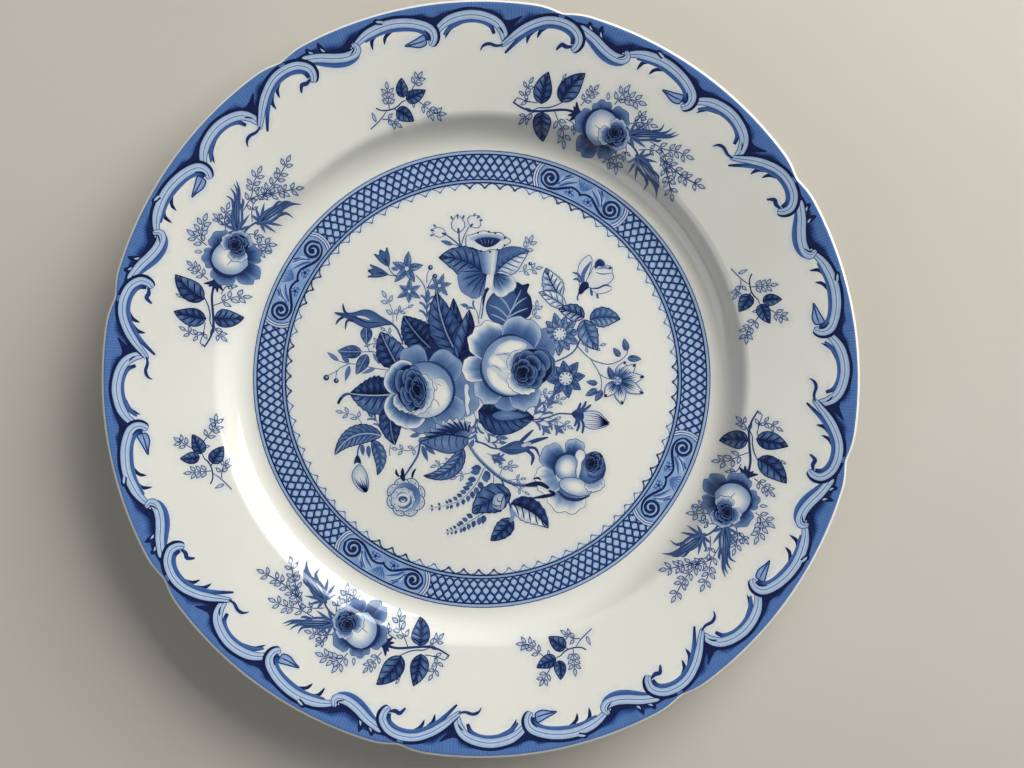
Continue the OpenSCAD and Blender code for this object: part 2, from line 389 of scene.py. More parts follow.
        fine = max(steps, 4 * teeth)
        self.settle()
        for side, body in ((1, near), (-1, far)):
            rows = [[at(k / fine, side, v) for k in range(fine + 1)] for v in (0, 0.5, 1)]
            tones = [[tone(body, shade, k) for k in range(fine + 1)] for shade in (0.2, -0.04, 0.08)]
            self.patch(rows, tones)
        self.settle()
        for side in (1, -1):
            if edge is not None:
                margin = [at(k / fine, side, 1) for k in range(fine + 1)]
                self.ribbon(margin, even(min(0.35, width * 0.07)), even(edge), (-1, 1))
            for k in range(veins):
                start = (k + 0.35) / (veins + 0.6)
                ends = [at(start, side, 0), at(min(start + 0.1, 1), side, 0.45),
                        at(min(start + 0.2, 1), side, 0.9)]
                self.line(ends, min(0.5, width * 0.08), vein, 1, 0.2, 3, settle=False)
        self.settle()
        if rib is not None:
            self.line(rib_line[::2] + [tip], min(0.45, width * 0.07), rib, 1, 0.3, 2)

    def small_leaf(self, base, tip, width, tone=0.55, hollow=False):
        """A plain little leaf. A hollow one is an outline round a pale wash."""
        self.settle()
        axis = tip - base
        shares = [0, 0.12, 0.3, 0.55, 0.8, 1]

        def rows(grow):
            half = [max(width / 2 * math.sin(math.pi * s ** 0.8) - grow, 0) for s in shares]
            start, end = grow * 1.6 / abs(axis), 1 - grow * 1.6 / abs(axis)
            rib = [base + axis * mix(start, end, s) for s in shares]
            side = 1j * axis / abs(axis)
            return [[p - side * h for p, h in zip(rib, half)],
                    [p + side * h for p, h in zip(rib, half)]]
        self.patch(rows(0), [[tone] * 6] * 2)
        if hollow:
            self.settle()
            self.patch(rows(0.27), [[0.2] * 6] * 2)

    def twig(self, points, leaves, size=2.6, tone=0.6, hollow=False, width=0.28, spread=48, end=True):
        """A thin stem with pairs of hollow leaves or of solid club-shaped ones, and one at its end."""
        stem = smooth(points, 6)
        self.ribbon(stem, even(width), even(tone + 0.15), (-1, 1))
        last = len(stem) - 1
        for k in range(leaves):
            i = round(last * (k + 1) / (leaves + 0.8))
            forward = stem[min(i + 1, last)] - stem[i - 1]
            forward /= abs(forward)
            for side in (-1, 1):
                tip = stem[i] + forward * polar(size, side * spread)
                if hollow:
                    self.small_leaf(stem[i] + (tip - stem[i]) * 0.12, tip, size * 0.48, tone, True)
                else:
                    self.line((stem[i], stem[i] + (tip - stem[i]) * polar(0.6, -16 * side), tip),
                              size * 0.23, tone, 0.2, 0.75, 3)
        if end:
            forward = stem[-1] - stem[-3]
            tip = stem[-1] + forward / abs(forward) * size
            self.small_leaf(stem[-1], tip, size * 0.48, tone, hollow)

    def petal(self, centre, inner, outer, start, stop, dark=0.8, pale=0.1, ruffle=0.0, waves=4,
              edge=0.6, rise=0.5, squeeze=1.0, turn=0.0):
        """A petal round a flower's centre: dark where it leaves the heart, pale at its rim."""
        columns = max(8, int(abs(stop - start) / 7))
        rings = (0, 0.25, 0.45, 0.65, 0.82, 0.93, 1)
        frame = polar(1, turn)

        def at(s, k):
            share = k / columns
            corner = 1 - abs(2 * share - 1) ** 3.5 * 0.4
            wave = 1 + ruffle * (abs(math.sin(math.pi * waves * share)) - 0.5)
            z = polar(mix(inner, outer * corner * wave, s), mix(start, stop, share))
            return centre + frame * complex(z.real, z.imag * squeeze)

        def tone(s, k):
            start = rise * 0.35
            return mix(dark, pale, ease((s - start) / (1.02 - start)) ** 1.5) + 0.03 * math.sin(k * 2.1)
        self.settle()
        self.patch([[at(s, k) for k in range(columns + 1)] for s in rings],
                   [[tone(s, k) for k in range(columns + 1)] for s in rings])
        self.settle()
        for k in range(1, 2 * columns):
            reach = 0.62 + 0.16 * math.sin(k * 1.7)
            self.line([at(0.1, k / 2), at(reach / 2, k / 2), at(reach, k / 2)], 0.17, dark * 0.9 + 0.1,
                      1, 0.2, 2, settle=False)
        if edge:
            self.line([at(1, k) for k in range(columns + 1)], 0.26, edge, 0.5, 0.5, 2)

    def ball(self, centre, length, width, turn, pale=0.03, dark=0.55, shift=0j, edge=0.8):
        """A rounded petal seen from outside, lit in its middle."""
        frame = polar(1, turn)
        outline = oval(centre, length / 2, width / 2, 10, frame)
        self.shape(outline, bloom(pale, dark, 1.6), centre + frame * shift, 6, 3, edge, 0.25)


def fine_sprigs(ink):
    """Thin twigs behind everything: hollow ones are outlines, the others are filled."""
    for stem, leaves, size in (
            ((-32.3+20j, -32.6+25j, -34.8+29.5j), 2, 3.4), ((-31+21j, -30.5+24j, -27+26j), 1, 2.6),
            ((13.4+39j, 16+39.6j, 19.5+40.2j), 2, 3), ((14+46j, 16.5+48j, 17.4+49.6j), 2, 3.4),
            ((-43.5-16.5j, -46-13.4j, -50.5-12.2j), 2, 3), ((-22-23.2j, -26-26j, -30.5-25.6j), 2, 2.8),
            ((-10-31j, -13-30.5j, -16.5-31.4j), 2, 2.6), ((-1.5-34j, -6-34.5j, -9-35.5j), 1, 3),
            ((6.5-35j, 8-32j, 10.5-31.7j), 2, 3), ((9-37j, 12-36.6j, 14-36.4j), 1, 2.4),
            ((11-38.5j, 13-39.5j, 15.5-41j), 1, 2.4), ((17+21.5j, 19.6+23.5j, 20+26j), 2, 3),
            ((36+13j, 39+11.5j, 43+12.2j), 2, 2.6), ((16-6j, 20-6j, 24-5.2j), 2, 2.8),
            ((20-12j, 25-8.6j, 28.5-7.4j), 2, 2.8), ((24-14j, 28-15.5j, 31-17j), 2, 2.8),
            ((-30+13j, -33+16j, -35+17.5j), 1, 2.6), ((-29+10j, -37+13j, -40.5+12.6j), 1, 2.6)):
        ink.twig(stem, leaves, size, 0.55, hollow=True, width=0.26)
    for stem, leaves, size in (
            ((-19.8+20j, -20.2+25j, -19.9+29j), 3, 3.4), ((-36-20j, -37-17j, -39.5-14j), 2, 3),
            ((-3-12j, -1.5-17j, -3-22j), 3, 3.2), ((0.5-18j, 3-20.5j, 6.3-21.2j), 2, 3),
            ((1-21j, 3-23j, 6.2-23.2j), 1, 2.6), ((2-27j, 4-28j, 5.6-28.6j), 2, 3),
            ((17.5-14.8j, 19.8-12j, 20.4-10j), 2, 3.4), ((20.5-14.6j, 23-12j, 24.8-8.6j), 2, 3.4),
            ((17-14.8j, 20.5-16j, 22.5-17.6j), 2, 3.2), ((21-14.6j, 25-16j, 27.2-17.6j), 2, 3.2),
            ((-1+20j, -2+25j, -4.8+26.4j), 1, 2.8), ((-1-14j, -3-18j, -6-21j), 2, 2.8)):
        ink.twig(stem, leaves, size * 1.15, 0.6, width=0.26, spread=40)


def stems(ink):
    """Stalks, the thick bent stem below the roses, and berries."""
    for points, width in (
            ((-33+20.4j, -30.6+17.8j, -28.6+12.5j), 0.7),
            ((-24+37.8j, -21+34j, -20+28j, -20+20j), 0.35), ((-20+35j, -19.9+38j, -18.8+40.4j), 0.3),
            ((-19.9+33j, -18.4+36j, -17.2+37.4j), 0.3),
            ((-34+41j, -32.5+38.4j, -29.8+37.4j, -28+38.6j), 0.35), ((-34.4+38j, -31+37.4j), 0.35),
            ((-43.6+9.9j, -41.5+9.9j, -38.6+9.6j, -36+5.6j, -32+3.6j), 0.3),
            ((-41.9+13j, -41+10.4j, -39.6+9.8j), 0.3), ((-52+6.5j, -48+5.6j, -45.4+5.4j), 0.3),
            ((-48.6+5.4j, -52.4+3.4j, -53.2-0.4j), 0.28), ((-52.2+3.4j, -54+2.2j, -56.3+1.2j), 0.28),
            ((-42.2+4.6j, -38+3.8j, -33.6+3.2j), 0.3), ((-7.6+48.4j, -8.2+50.5j, -8.3+53j), 0.6),
            ((-7.4+48.4j, -6.6+51.6j, -4.6+55.6j), 0.4), ((-7.8+48.4j, -10.6+50.8j, -13+52.5j), 0.55),
            ((-8+48.3j, -10+48.9j, -12+49.6j), 0.3),
            ((36.2+20j, 35.8+14.5j, 33+9.6j, 27+6.4j, 24+6.4j), 0.55),
            ((35+28.6j, 34.9+30j, 36+33j), 0.6),
            ((34.4+12.4j, 38+8.6j, 41+6.6j, 46+5.4j, 50+6.6j, 52.6+8.8j, 53.1+10.4j), 0.35),
            ((39.8+7j, 42.6+2.4j, 43.6-1j, 43.3-4.6j), 0.3), ((42.4+2.2j, 45+0.5j, 48-0.1j), 0.3),
            ((18.5-14.9j, 24-14j, 28-12.6j, 33.4-12.8j), 0.6),
            ((-2.5-22.6j, 1-23.6j, 3.6-25j, 7.4-25.5j), 0.65),
            ((7-36j, 8.4-40j, 9.8-44.4j, 10.6-47.6j), 0.7), ((4.1-33.5j, 4.3-36j, 4.2-39j), 0.25),
            ((-43.6-22.6j, -45-25.6j, -45.2-28.4j), 0.6),
            ((-22.4-23j, -23.2-27.4j, -25.6-31.6j, -28.2-35.4j), 0.75),
            ((-33.2-24j, -33.6-26j, -33.5-28j), 0.3), ((-0.6+22j, 0.2+27j, 0.9+33j), 1.3)):
        ink.line(points, width, 0.72, 1, 0.8)
    ink.line((-5.5-22.6j, -2.2-27.6j, 2-32j, 7-36j, 12-38.2j, 17-38.7j, 23-38.6j), 1.2, 0.72, 0.7, 1)
    ink.line((-5.2-22.8j, -2-27.6j, 2.2-31.8j, 7-35.6j, 12-37.9j, 17-38.4j), 0.35, 0.35, 1, 0.4)
    ink.line((-0.7+22j, 0.1+27j, 0.8+32j), 0.6, 0.15, 1, 1)
    for place, radius in ((-18.7+40.6j, 0.95), (-17.1+37.4j, 0.95), (-53-0.6j, 0.95), (-56.6+0.5j, 1.1),
                          (17.6+42j, 0.7)):
        ink.dot(place, radius, 0.85, 10)
        ink.dot(place + 0.15 + 0.15j, radius * 0.35, 0.25)
    ink.line((-47-5.4j, -49.6-5.6j, -51.4-7.2j, -52.3-9j), 1.1, 0.72, 0.5, 0.8)
    ink.line((-51.2-6.9j, -52-8.2j, -52.4-9.1j), 1, 1, 0.7, 0.6)


def fern(ink, spine, leaflets, size):
    """A frond whose leaflets shrink towards its tip."""
    path = smooth(spine, 8)
    last = len(path) - 1
    ink.ribbon(path, lambda t: mix(0.35, 0.12, t), even(0.7), (-1, 1))
    for k in range(leaflets):
        share = (k / leaflets) ** 0.85
        i = min(int(share * last), last - 1)
        forward = (path[i + 1] - path[i]) / abs(path[i + 1] - path[i])
        length = size * 1.15 * (1 - share * 0.75)
        for side, lean in ((-1, 62), (1, 50)):
            base = path[i] + forward * polar(0.25 * length, side * lean)
            ink.small_leaf(base, base + forward * polar(length, side * lean), length * 0.68,
                           0.74 - 0.12 * (k % 2))


def small_leaves(ink):
    """Leaves on the outlying stalks, the larger ones veined."""
    for base, tip, width, tone in (
            (-43.8+10j, -52.4+10.2j, 4.6, 0.72), (-41.8+8.9j, -45.8+1.8j, 4.2, 0.68),
            (-42.1+19j, -42.1+12.8j, 4.2, 0.7), (53+10.2j, 51.8+14.8j, 2.4, 0.66),
            (50.4+8.2j, 47.9+11.4j, 2.2, 0.66), (53+7.5j, 58.1+7.2j, 2.4, 0.66),
            (42.2-1.6j, 38.1-0.9j, 2, 0.66), (42-3.6j, 37.7-6.1j, 2.4, 0.66),
            (43.7-4j, 41.2-8.1j, 2.4, 0.66), (48-0.2j, 46+4.6j, 2.4, 0.75)):
        ink.leaf(base, tip, width, 0.02, tone, tone - 0.1, 0.35, 2, vein=0.92, edge=0.85)
    for base, tip, width, tone in (
            (-48.2+6j, -51.4+9j, 2, 0.62), (-52+6.5j, -56.4+9.9j, 1.8, 0.5),
            (-48.1+5j, -49.7-0.9j, 2, 0.55), (-39.6+9.6j, -37.2+5.2j, 1.5, 0.5),
            (-38.6+4j, -43.8+1.9j, 1.6, 0.5), (-33+40.5j, -30.2+39.6j, 1.5, 0.55),
            (-43.6-23.6j, -43.2-28j, 1.8, 0.66), (-41.4-24j, -41-28.9j, 1.8, 0.66),
            (-21.8-24j, -19.6-30.2j, 1.9, 0.66), (-20.8-24j, -16.8-27.6j, 1.9, 0.66),
            (-10.4+48.9j, -15.1+50.4j, 1.7, 0.6), (3.6-27.8j, 7.4-28j, 1.2, 0.7),
            (3.6-28.8j, 7.8-30.8j, 1.5, 0.7), (-22.4-20j, -26.4-21j, 1.8, 0.6)):
        ink.small_leaf(base, tip, width, tone)


def vine_leaf(ink):
    """A lobed leaf, its left half paler than its right."""
    ink.shape((8.4+20j, 4+21.2j, 2.2+23.4j, 1.6+26.4j, 2.8+29.6j, 5.4+31.8j, 9+31j, 12+31.8j, 13+29.4j,
               11+25j), fade(0.6, 0.72), 8+26.4j, edge=0.9)
    ink.shape((8.4+20j, 11+25j, 13+29.4j, 12+32j, 12.6+35.2j, 14.8+34.2j, 17.2+34.6j, 16.4+31.8j,
               17.8+29.6j, 18.2+25.8j, 16.8+22.6j, 13+21.4j), fade(0.78, 0.94), 13.6+27.4j, edge=0.95)
    for points in ((8.4+20j, 11+25.4j, 14.4+32.6j), (9.6+22.4j, 13+24.4j, 16.8+25.8j),
                   (10.6+24.6j, 13+27.6j, 16.4+29.8j), (9.4+22.4j, 6.4+25.4j, 2.6+27j),
                   (10.4+24.6j, 8.4+28j, 5.6+30.6j), (8.8+21j, 6+22.6j, 3.2+23.6j)):
        ink.line(points, 0.55, 0.3, 1, 0.2)


def big_leaves(ink):
    """The dark leaves round the roses and the paler ones on the outlying stalks."""
    ink.shape((-26+6j, -21+12j, -16.6+17j, -6+14.6j, -2+10j, -5+2j, -14+4j, -22+4j), even(0.9), rings=1)
    ink.leaf(-36.6-20.6j, -53.5-27.6j, 7.4, -0.2, 0.5, 0.58, 0.25, 8, 12, vein=0.8)
    ink.leaf(-40-22.4j, -38-34.9j, 4.8, 0.16, 0.5, 0.56, None, 5, 8, vein=0.8)
    ink.leaf(-30.4+4.4j, -36.8+17.2j, 10.6, 0.02, 0.8, 0.62, 0.4, 5, 6, full=0.72)
    ink.leaf(-31.6-5.4j, -48-5.2j, 14.6, 0.04, 0.62, 0.84, 0.25, 6, 9)
    ink.leaf(-33-9.6j, -31.6-24j, 8.6, -0.06, 0.84, 0.74, 0.5, 5, 4)
    ink.leaf(-7-25j, -21.2-35.2j, 6, 0.22, 0.55, 0.44, 0.85, 7, 10, vein=0.8)
    ink.leaf(10.6-42j, -3.4-48.8j, 11, -0.1, 0.72, 0.62, None, 4, 6)
    ink.shape((4.6-42.6j, 7.6-41.8j, 8.4-45j, 7.2-47.6j, 4-46.4j), fade(0.12, 0.35))
    for crack in ((8.6-41.5j, 7.4-44j, 6.6-47.6j), (7.2-44.2j, 6-44.6j, 5.6-43.4j),
                  (6.8-46j, 5-46.2j, 3.6-45.2j)):
        ink.line(crack, 0.4, 0.95)
    ink.leaf(11-50.8j, 3.2-58.8j, 6.6, 0.04, 0.78, 0.64, 0.95, 4, 5)
    ink.leaf(10.6-45.4j, 24.2-54.2j, 9.4, 0.1, 0.84, 0.1, 0.95, 5, 6, vein=0.9, edge=0.7)
    ink.line((10.4-47j, 11.3-49.6j, 10.4-52j), 1.6, 0.4, 0.6, 0.6)
    ink.leaf(-18.8+11.4j, -28.4+23j, 11.4, 0.04, 0.8, 0.86, 0.5, 6, 9, vein=0.98, full=0.8)
    ink.leaf(-7.8+7.6j, -10.3+29.4j, 6.4, 0.02, 0.97, 0.97, None, 4, vein=0.7)
    ink.leaf(-9+9.4j, -16.4+31.6j, 11.6, 0.06, 0.68, 0.74, 0.35, 6, 5)
    ink.leaf(-8.8+7.4j, -4.6+25.2j, 7, -0.05, 0.62, 0.98, None, 4, vein=0.9)
    ink.leaf(28.9+29.8j, 23.4+40.4j, 8, 0.06, 0.25, 0.12, 0.9, 5, 7, vein=0.75, edge=0.75)
    ink.leaf(30.4+26.2j, 20.8+31.6j, 5.4, -0.05, 0.12, 0.12, 0.8, 4, 5, vein=0.6, edge=0.7)
    ink.leaf(37.2+22.4j, 28+25.4j, 6.4, -0.06, 0.3, 0.6, 0.9, 4, 5)
    ink.leaf(39.4+21.6j, 50.4+21.8j, 7.6, 0.08, 0.55, 0.4, 0.85, 5, 5, vein=0.75)
    ink.leaf(37.2+21.6j, 42.2+10.6j, 7.6, -0.06, 0.5, 0.42, 0.85, 4, 5, vein=0.75)
    vine_leaf(ink)
    ink.leaf(-1.2-11.6j, 19-14j, 13.6, -0.05, 0.88, 0.74, 0.95, 7)
    ink.shape((4-12.8j, 8-11.4j, 13-12.2j, 16-13.6j, 9-15j, 5-14.4j), fade(0.42, 0.62))


def serrated_leaf(ink):
    """The leaf in front of the left rose. Its upper half pales out to saw teeth."""
    rib = (-22.7-22.9j, -18.6-21.6j, -14-20.3j, -10.3-20.4j, -5.3-21.3j)
    heart = rib[-1]
    tips = (-22.4-21.4j, -20.8-19.4j, -18.8-17.6j, -16.6-16j, -14.2-14.9j, -11.6-14.3j, -9-14j,
            -6.4-14.4j, -4.2-15.8j)
    teeth = [z for tip in tips for z in (tip, mix(tip, heart, 0.14))]
    ink.shape([rib[0], *teeth, -3.6-18.6j, *rib[:0:-1]],
              lambda s, a: mix(0.95, 0.36 - 0.34 * math.sin(math.radians(a)), ease(s)),
              -11-18.8j, 5, 3, 0.75, 0.22)
    for tip in tips:
        ink.line((mix(tip, heart, 0.66), mix(tip, heart, 0.4) + 0.4j, mix(tip, heart, 0.13)), 0.75,
                 0.92, 1, 0.15)
        ink.dot(tip, 0.22, 0.9, 6)
    ink.shape((*rib, -5.6-24j, -8.6-26.4j, -12.4-27j, -16.6-25.8j, -20-24.2j), fade(0.42, 0.6),
              edge=0.85)
    for k in range(6):
        x = -19.4 + 2.6 * k
        bulge = (x + 12) ** 2
        ink.line((complex(x, -20.5 - 0.035 * bulge), complex(x - 0.4, -23.2),
                  complex(x + 0.4, -26 + 0.05 * bulge)), 0.4, 0.86, 1, 0.2)
    ink.line(rib, 0.5, 0.97, 0.4, 1)


def daffodil(ink):
    """The trumpet at the top, seen a little from the side, on four petals."""
    ink.leaf(0.4+39j, -15.6+44.2j, 11.4, -0.1, 0.56, 0.62, 0.9, 6, 4)
    ink.leaf(5+38.6j, 17.2+46.6j, 10, 0.08, 0.62, 0.12, 0.85, 6, vein=0.6, edge=0.7)
    ink.petal(2+39j, 0, 11.4, 170, 262, 0.7, 0.44, 0.05, 3, rise=0.6)
    ink.petal(4.6+39j, 0, 9.6, 262, 348, 0.62, 0.06, 0.05, 2, rise=0.7, edge=0.5)
    for base, reach, width, first in ((2+39j, 9.6, 0.5, 180), (4.6+39j, 6.4, 0.3, 272)):
        for a in range(first, first + 73, 18):
            ink.line((base + polar(1, a), base + polar(reach * 0.6, a - 3), base + polar(reach, a)),
                     width, 0.88, 1, 0.1)
    ink.line((2.4+33.2j, 1+30.6j, 0.4+26.6j), 1.1, 0.9, 1, 0.2)
    sides = ((-1.8+47j, 0.2+38.6j), (-0.4+47j, 1.2+38.3j), (1.6+47j, 2.4+38.1j), (4.4+47j, 3.8+38.2j),
             (6.2+47j, 5+38.6j))
    ink.patch([[mix(top, low, k / 4) for top, low in sides] for k in range(5)],
              [[0.62, 0.5, 0.3, 0.06, 0.35]] * 5)
    for tops in (sides[0], sides[-1]):
        ink.line((tops[0], mix(*tops, 0.5), tops[1]), 0.35, 0.85, 1, 1)
    mouth = []
    for k in range(22):
        a = TAU * k / 22
        width, height = 8.1 + 0.5 * math.cos(5 * a), 3.5 + 0.4 * math.cos(7 * a)
        mouth.append(1.9+50.2j + complex(width * math.cos(a), height * math.sin(a)))
    ink.shape(mouth, even(0.08), edge=0.75, edge_width=0.28, steps=3)
    ink.shape((-4.6+51.2j, -1+52.6j, 3+52.8j, 7+52.2j, 9+51j, 6+50j, 2+48.6j, -2+49.8j),
              bloom(0.75, 0.2), 2+50.4j)
    ink.shape((-2.6+50.4j, 0+51.4j, 2.4+51.6j, 5+51.4j, 6.8+50.6j, 4.6+48.6j, 2+47.9j, 0+48.5j),
              fade(0.98, 0.85), 2+49.4j)
    for x in (-0.6, 1, 2.6, 4.2):
        ink.line((x + 50.9j, 1.9 + (x - 1.9) * 0.6 + 49.2j), 0.3, 0.5, 0.4, 0.4, 2)
    for place in (4.9+53.1j, 8.4+51.4j, 8.3+48.7j, 5.7+47.1j, 3+46.3j, -0.2+46.6j, -2.2+47j, -3.4+47.6j,
                  2.6+53.6j, -1.4+53.2j):
        ink.dot(place, 0.42)


def garden_buds(ink):
    """The closed buds: three over the daffodil, one hanging, one striped, and the rosebud."""
    for base, tip, width in ((-12.9+52.6j, -18.8+54.4j, 3.4), (-8.4+53j, -8.9+60.2j, 4.8),
                             (-4.2+55.4j, -0.8+59.6j, 5.2)):
        axis = tip - base
        ink.small_leaf(base, tip, width * 1.15, 0.6)
        ink.small_leaf(base + axis * 0.05, tip - axis * 0.05, width * 0.98, 0.06)
        ink.line((base, base + axis * 0.3), 0.9, 0.75, 1, 0.2)
        for turn in (-26, 0, 26):
            ink.line((base + axis * 0.72 * polar(1, turn * 0.7),
                      base + axis * 0.96 * polar(1, turn * 0.8)), 0.75, 0.66, 0.3, 0.8, 2)
    ink.shape((-45.2-31.4j, -47-33.8j, -47-36.8j, -44.8-40j, -42.2-41.2j, -41.2-38.6j, -41.8-34.6j,
               -43.6-31.6j), fade(0.04, 0.24), edge=0.72)
    for k in range(5):
        share = k / 2 - 1
        ink.ribbon(smooth((-42.2-41j, -43.4-38.4j + share * 1.6,
                           -44.4-35.6j - 1.2j * (k % 2) + share * 2.1), 5),
                   lambda t: mix(0.95, 0.08, t), lambda t, side: mix(0.9, 0.55, t), (-1, 1))
    ink.shape((-45.3-27.6j, -44.2-29j, -44-30.9j, -45.4-30.4j, -46.5-31j, -46.2-29j), even(0.9))
    ink.shape((36.2-12.6j, 39-11.6j, 42.4-12j, 44.6-14j, 46.4-16.3j, 43.6-17.8j, 40-18.2j, 37-16.6j),
              fade(0.04, 0.18), edge=0.75)
    for k in range(7):
        share = k / 3 - 1
        ink.ribbon(smooth((46-16.2j, 42.6-15.3j + share * 2.1j,
                           39.4-14.9j - 1.6 * (k % 2) + share * 2.4j), 5), lambda t: mix(0.8, 0.08, t),
                   lambda t, side: mix(0.92, 0.6, t), (-1, 1))
    ink.shape((32.6-12.6j, 34.6-11j, 36.6-11.4j, 37.2-14j, 36-15.2j, 34-14.4j), even(0.84))
    for points in ((34.4-12j, 35.4-10.4j, 36-8.6j), (35-12j, 37-10.2j, 38-8.1j),
                   (35.6-12.2j, 38-10.8j, 39.8-9.3j), (34.6-14j, 34.4-15.8j, 33.7-17.2j),
                   (35-14j, 35.4-16.6j, 34.6-19j), (35.8-14j, 37-16.6j, 36.6-19.8j)):
        ink.line(points, 1, 0.74, 0.8, 0.6)
    ink.shape((36+33.5j, 35+38j, 35.6+42j, 38.8+45j, 40.2+43j, 39+38j, 38+35j), even(0.08), edge=0.6)
    ink.line((36.9+34.6j, 37+38.4j, 39.8+42.8j), 1.5, 0.6, 0.6, 0.3)
    ink.shape((38+35.6j, 39.6+38.6j, 41.4+41.4j, 47+41j, 47.4+38.6j, 48+37j, 46+34.6j, 42+33.2j,
               39+33.4j), fade(0.03, 0.1), edge=0.6)
    ink.shape((41.2+40j, 41.2+42.4j, 43+43.8j, 44.8+42.4j, 44.4+40.8j, 42.6+41j), fade(0.98, 0.75))
    for points, width, tone in (((41.8+40j, 44.6+40.6j, 47.2+40j), 0.9, 0.4),
                                ((41.4+38.9j, 44+38.2j, 47.2+38.6j), 0.5, 0.5),
                                ((46.2+40.6j, 47.2+40.2j), 1, 0.9),
                                ((38.8+33.2j, 42+33j, 45+34.2j, 47.4+33.4j), 0.6, 0.8),
                                ((39.6+32.6j, 42.6+31j, 46.8+32.2j, 47.3+33.2j), 0.3, 0.6),
                                ((39.6+33j, 40.2+30.2j), 1, 0.7), ((41.8+31.2j, 42.4+29.2j), 0.9, 0.65),
                                ((36.2+35j, 34.8+36.4j, 33.2+36.2j), 0.9, 0.65),
                                ((36.4+35.4j, 35.2+38j, 33+38.8j), 0.9, 0.65)):
        ink.line(points, width, tone)
    ink.shape((35.2+31.6j, 35.6+34j, 37+35.4j, 38.6+35.2j, 39+33.4j, 37.6+32.2j, 36.2+30.8j),
              even(0.94))


def seed_pod(ink):
    """The long pod at the left, with a torn tip."""
    ink.shape((-32.6+20.2j, -36.4+22.6j, -40+24.8j, -43+25.2j, -46.6+24.2j, -50+24j, -53.6+24.2j,
               -51.4+23j, -48+21.6j, -45+19.8j, -42+18.6j, -38+19j, -35.4+19.6j), fade(0.55, 0.74),
              -40+21.4j, edge=0.8)
    ink.shape((-45.6+22.8j, -43.2+22.9j, -40.6+21.6j, -42.8+21.9j), even(0.1))
    ink.line((-52.4+23.8j, -46+22.4j, -42+20.6j, -37+20.6j), 0.6, 0.88, 0.3, 0.3)
    for points in ((-48.6+23.6j, -50+24.8j, -50.6+27.6j), (-50.4+22.6j, -52+21.6j, -53.2+19.8j),
                   (-46.8+21.2j, -49+21.2j, -49.7+18j)):
        ink.line(points, 0.9, 0.85, 1, 0.2)


def bell(ink, base, tip, width, tone=0.62):
    """A bell flower from its stalk to the middle of its toothed mouth."""
    axis = tip - base
    side = 1j * axis / abs(axis) * width / 2
    ink.shape((base - side * 0.12, base + axis * 0.45 - side * 0.75, tip - side,
               tip - axis * 0.18 - side * 0.5, tip + axis * 0.08, tip - axis * 0.18 + side * 0.5,
               tip + side, base + axis * 0.45 + side * 0.75, base + side * 0.12),
              fade(tone - 0.08, tone + 0.08), base + axis * 0.5, steps=3, edge=0.8)
    for share in (-0.4, 0, 0.4):
        ink.line((base + axis * 0.1, base + axis * 0.8 + side * share), 0.35, 0.85, 1, 0.3, 2)
    for share in (-1, 0, 1):
        ink.dot(tip + side * share - axis * 0.03, 0.35)


def star(ink, centre, reach, petals, turn, width=0.42, dark=0.56, pale=0.42, heart=0.0):
    """A flower of pointed petals. A heart is a pale middle with its own dots."""
    for k in range(petals):
        tip = centre + polar(reach * (0.94 + 0.08 * math.sin(k * 2.6)), turn + 360 * k / petals)
        ink.leaf(centre, tip, reach * width, 0, dark, pale, None, 2, vein=0.85, edge=0.8)
        ink.dot(tip - (tip - centre) * 0.03, 0.25, 0.9)
    if heart:
        ink.dot(centre, heart, 0.1, 12)
        for k in range(9):
            ink.dot(centre + polar(heart * 0.78, 40 * k), heart * 0.16, 0.7, 6)
            ink.line((centre + polar(heart, 40 * k), centre + polar(heart * 1.25, 40 * k)),
                     0.3, 0.9, 1, 1, 1)
    else:
        ink.dot(centre, reach * 0.12, 0.1)


def clematis(ink):
    """The open flower at the far right, its six petals dark at the middle."""
    centre = 49.4-0.6j
    for tip in (52.2+6.4j, 56+5.4j, 59+0.9j, 58.8-5.2j, 51.2-9.2j, 44.8-6.4j):
        axis = tip - centre
        side = 1j * axis / abs(axis)
        half = [2.2 * math.sin(math.pi * min(k / 10, 0.995) ** 0.9) ** 0.9 for k in range(11)]
        rows = [[centre + axis * k / 10 + side * share * half[k] for k in range(11)]
                for share in (-1, -0.35, 0.35, 1)]
        ink.settle()
        ink.patch(rows, [[mix(0.88, 0.06, ease(min(k / 7, 1))) + shift for k in range(11)]
                         for shift in (0.1, 0, 0, 0.1)])
        for edge in (rows[0], rows[-1]):
            ink.line(edge[2:], 0.3, 0.66, 0.6, 1, 1)
        for lean in (-0.45, 0.1, 0.6):
            end = centre + axis * (0.74 - 0.1 * abs(lean)) + side * lean * 1.6
            ink.line((centre, centre + axis * 0.4 + side * lean, end), 0.4, 0.85, 1, 0.1, 3)
        ink.line((tip - axis * 0.16, tip), 0.75, 0.95, 0.3, 1)
    ink.dot(centre, 1.5, 0.35, 12)
    for k in range(8):
        ink.dot(centre + polar(1, 45 * k), 0.28, 0.15 + 0.6 * (k % 2))


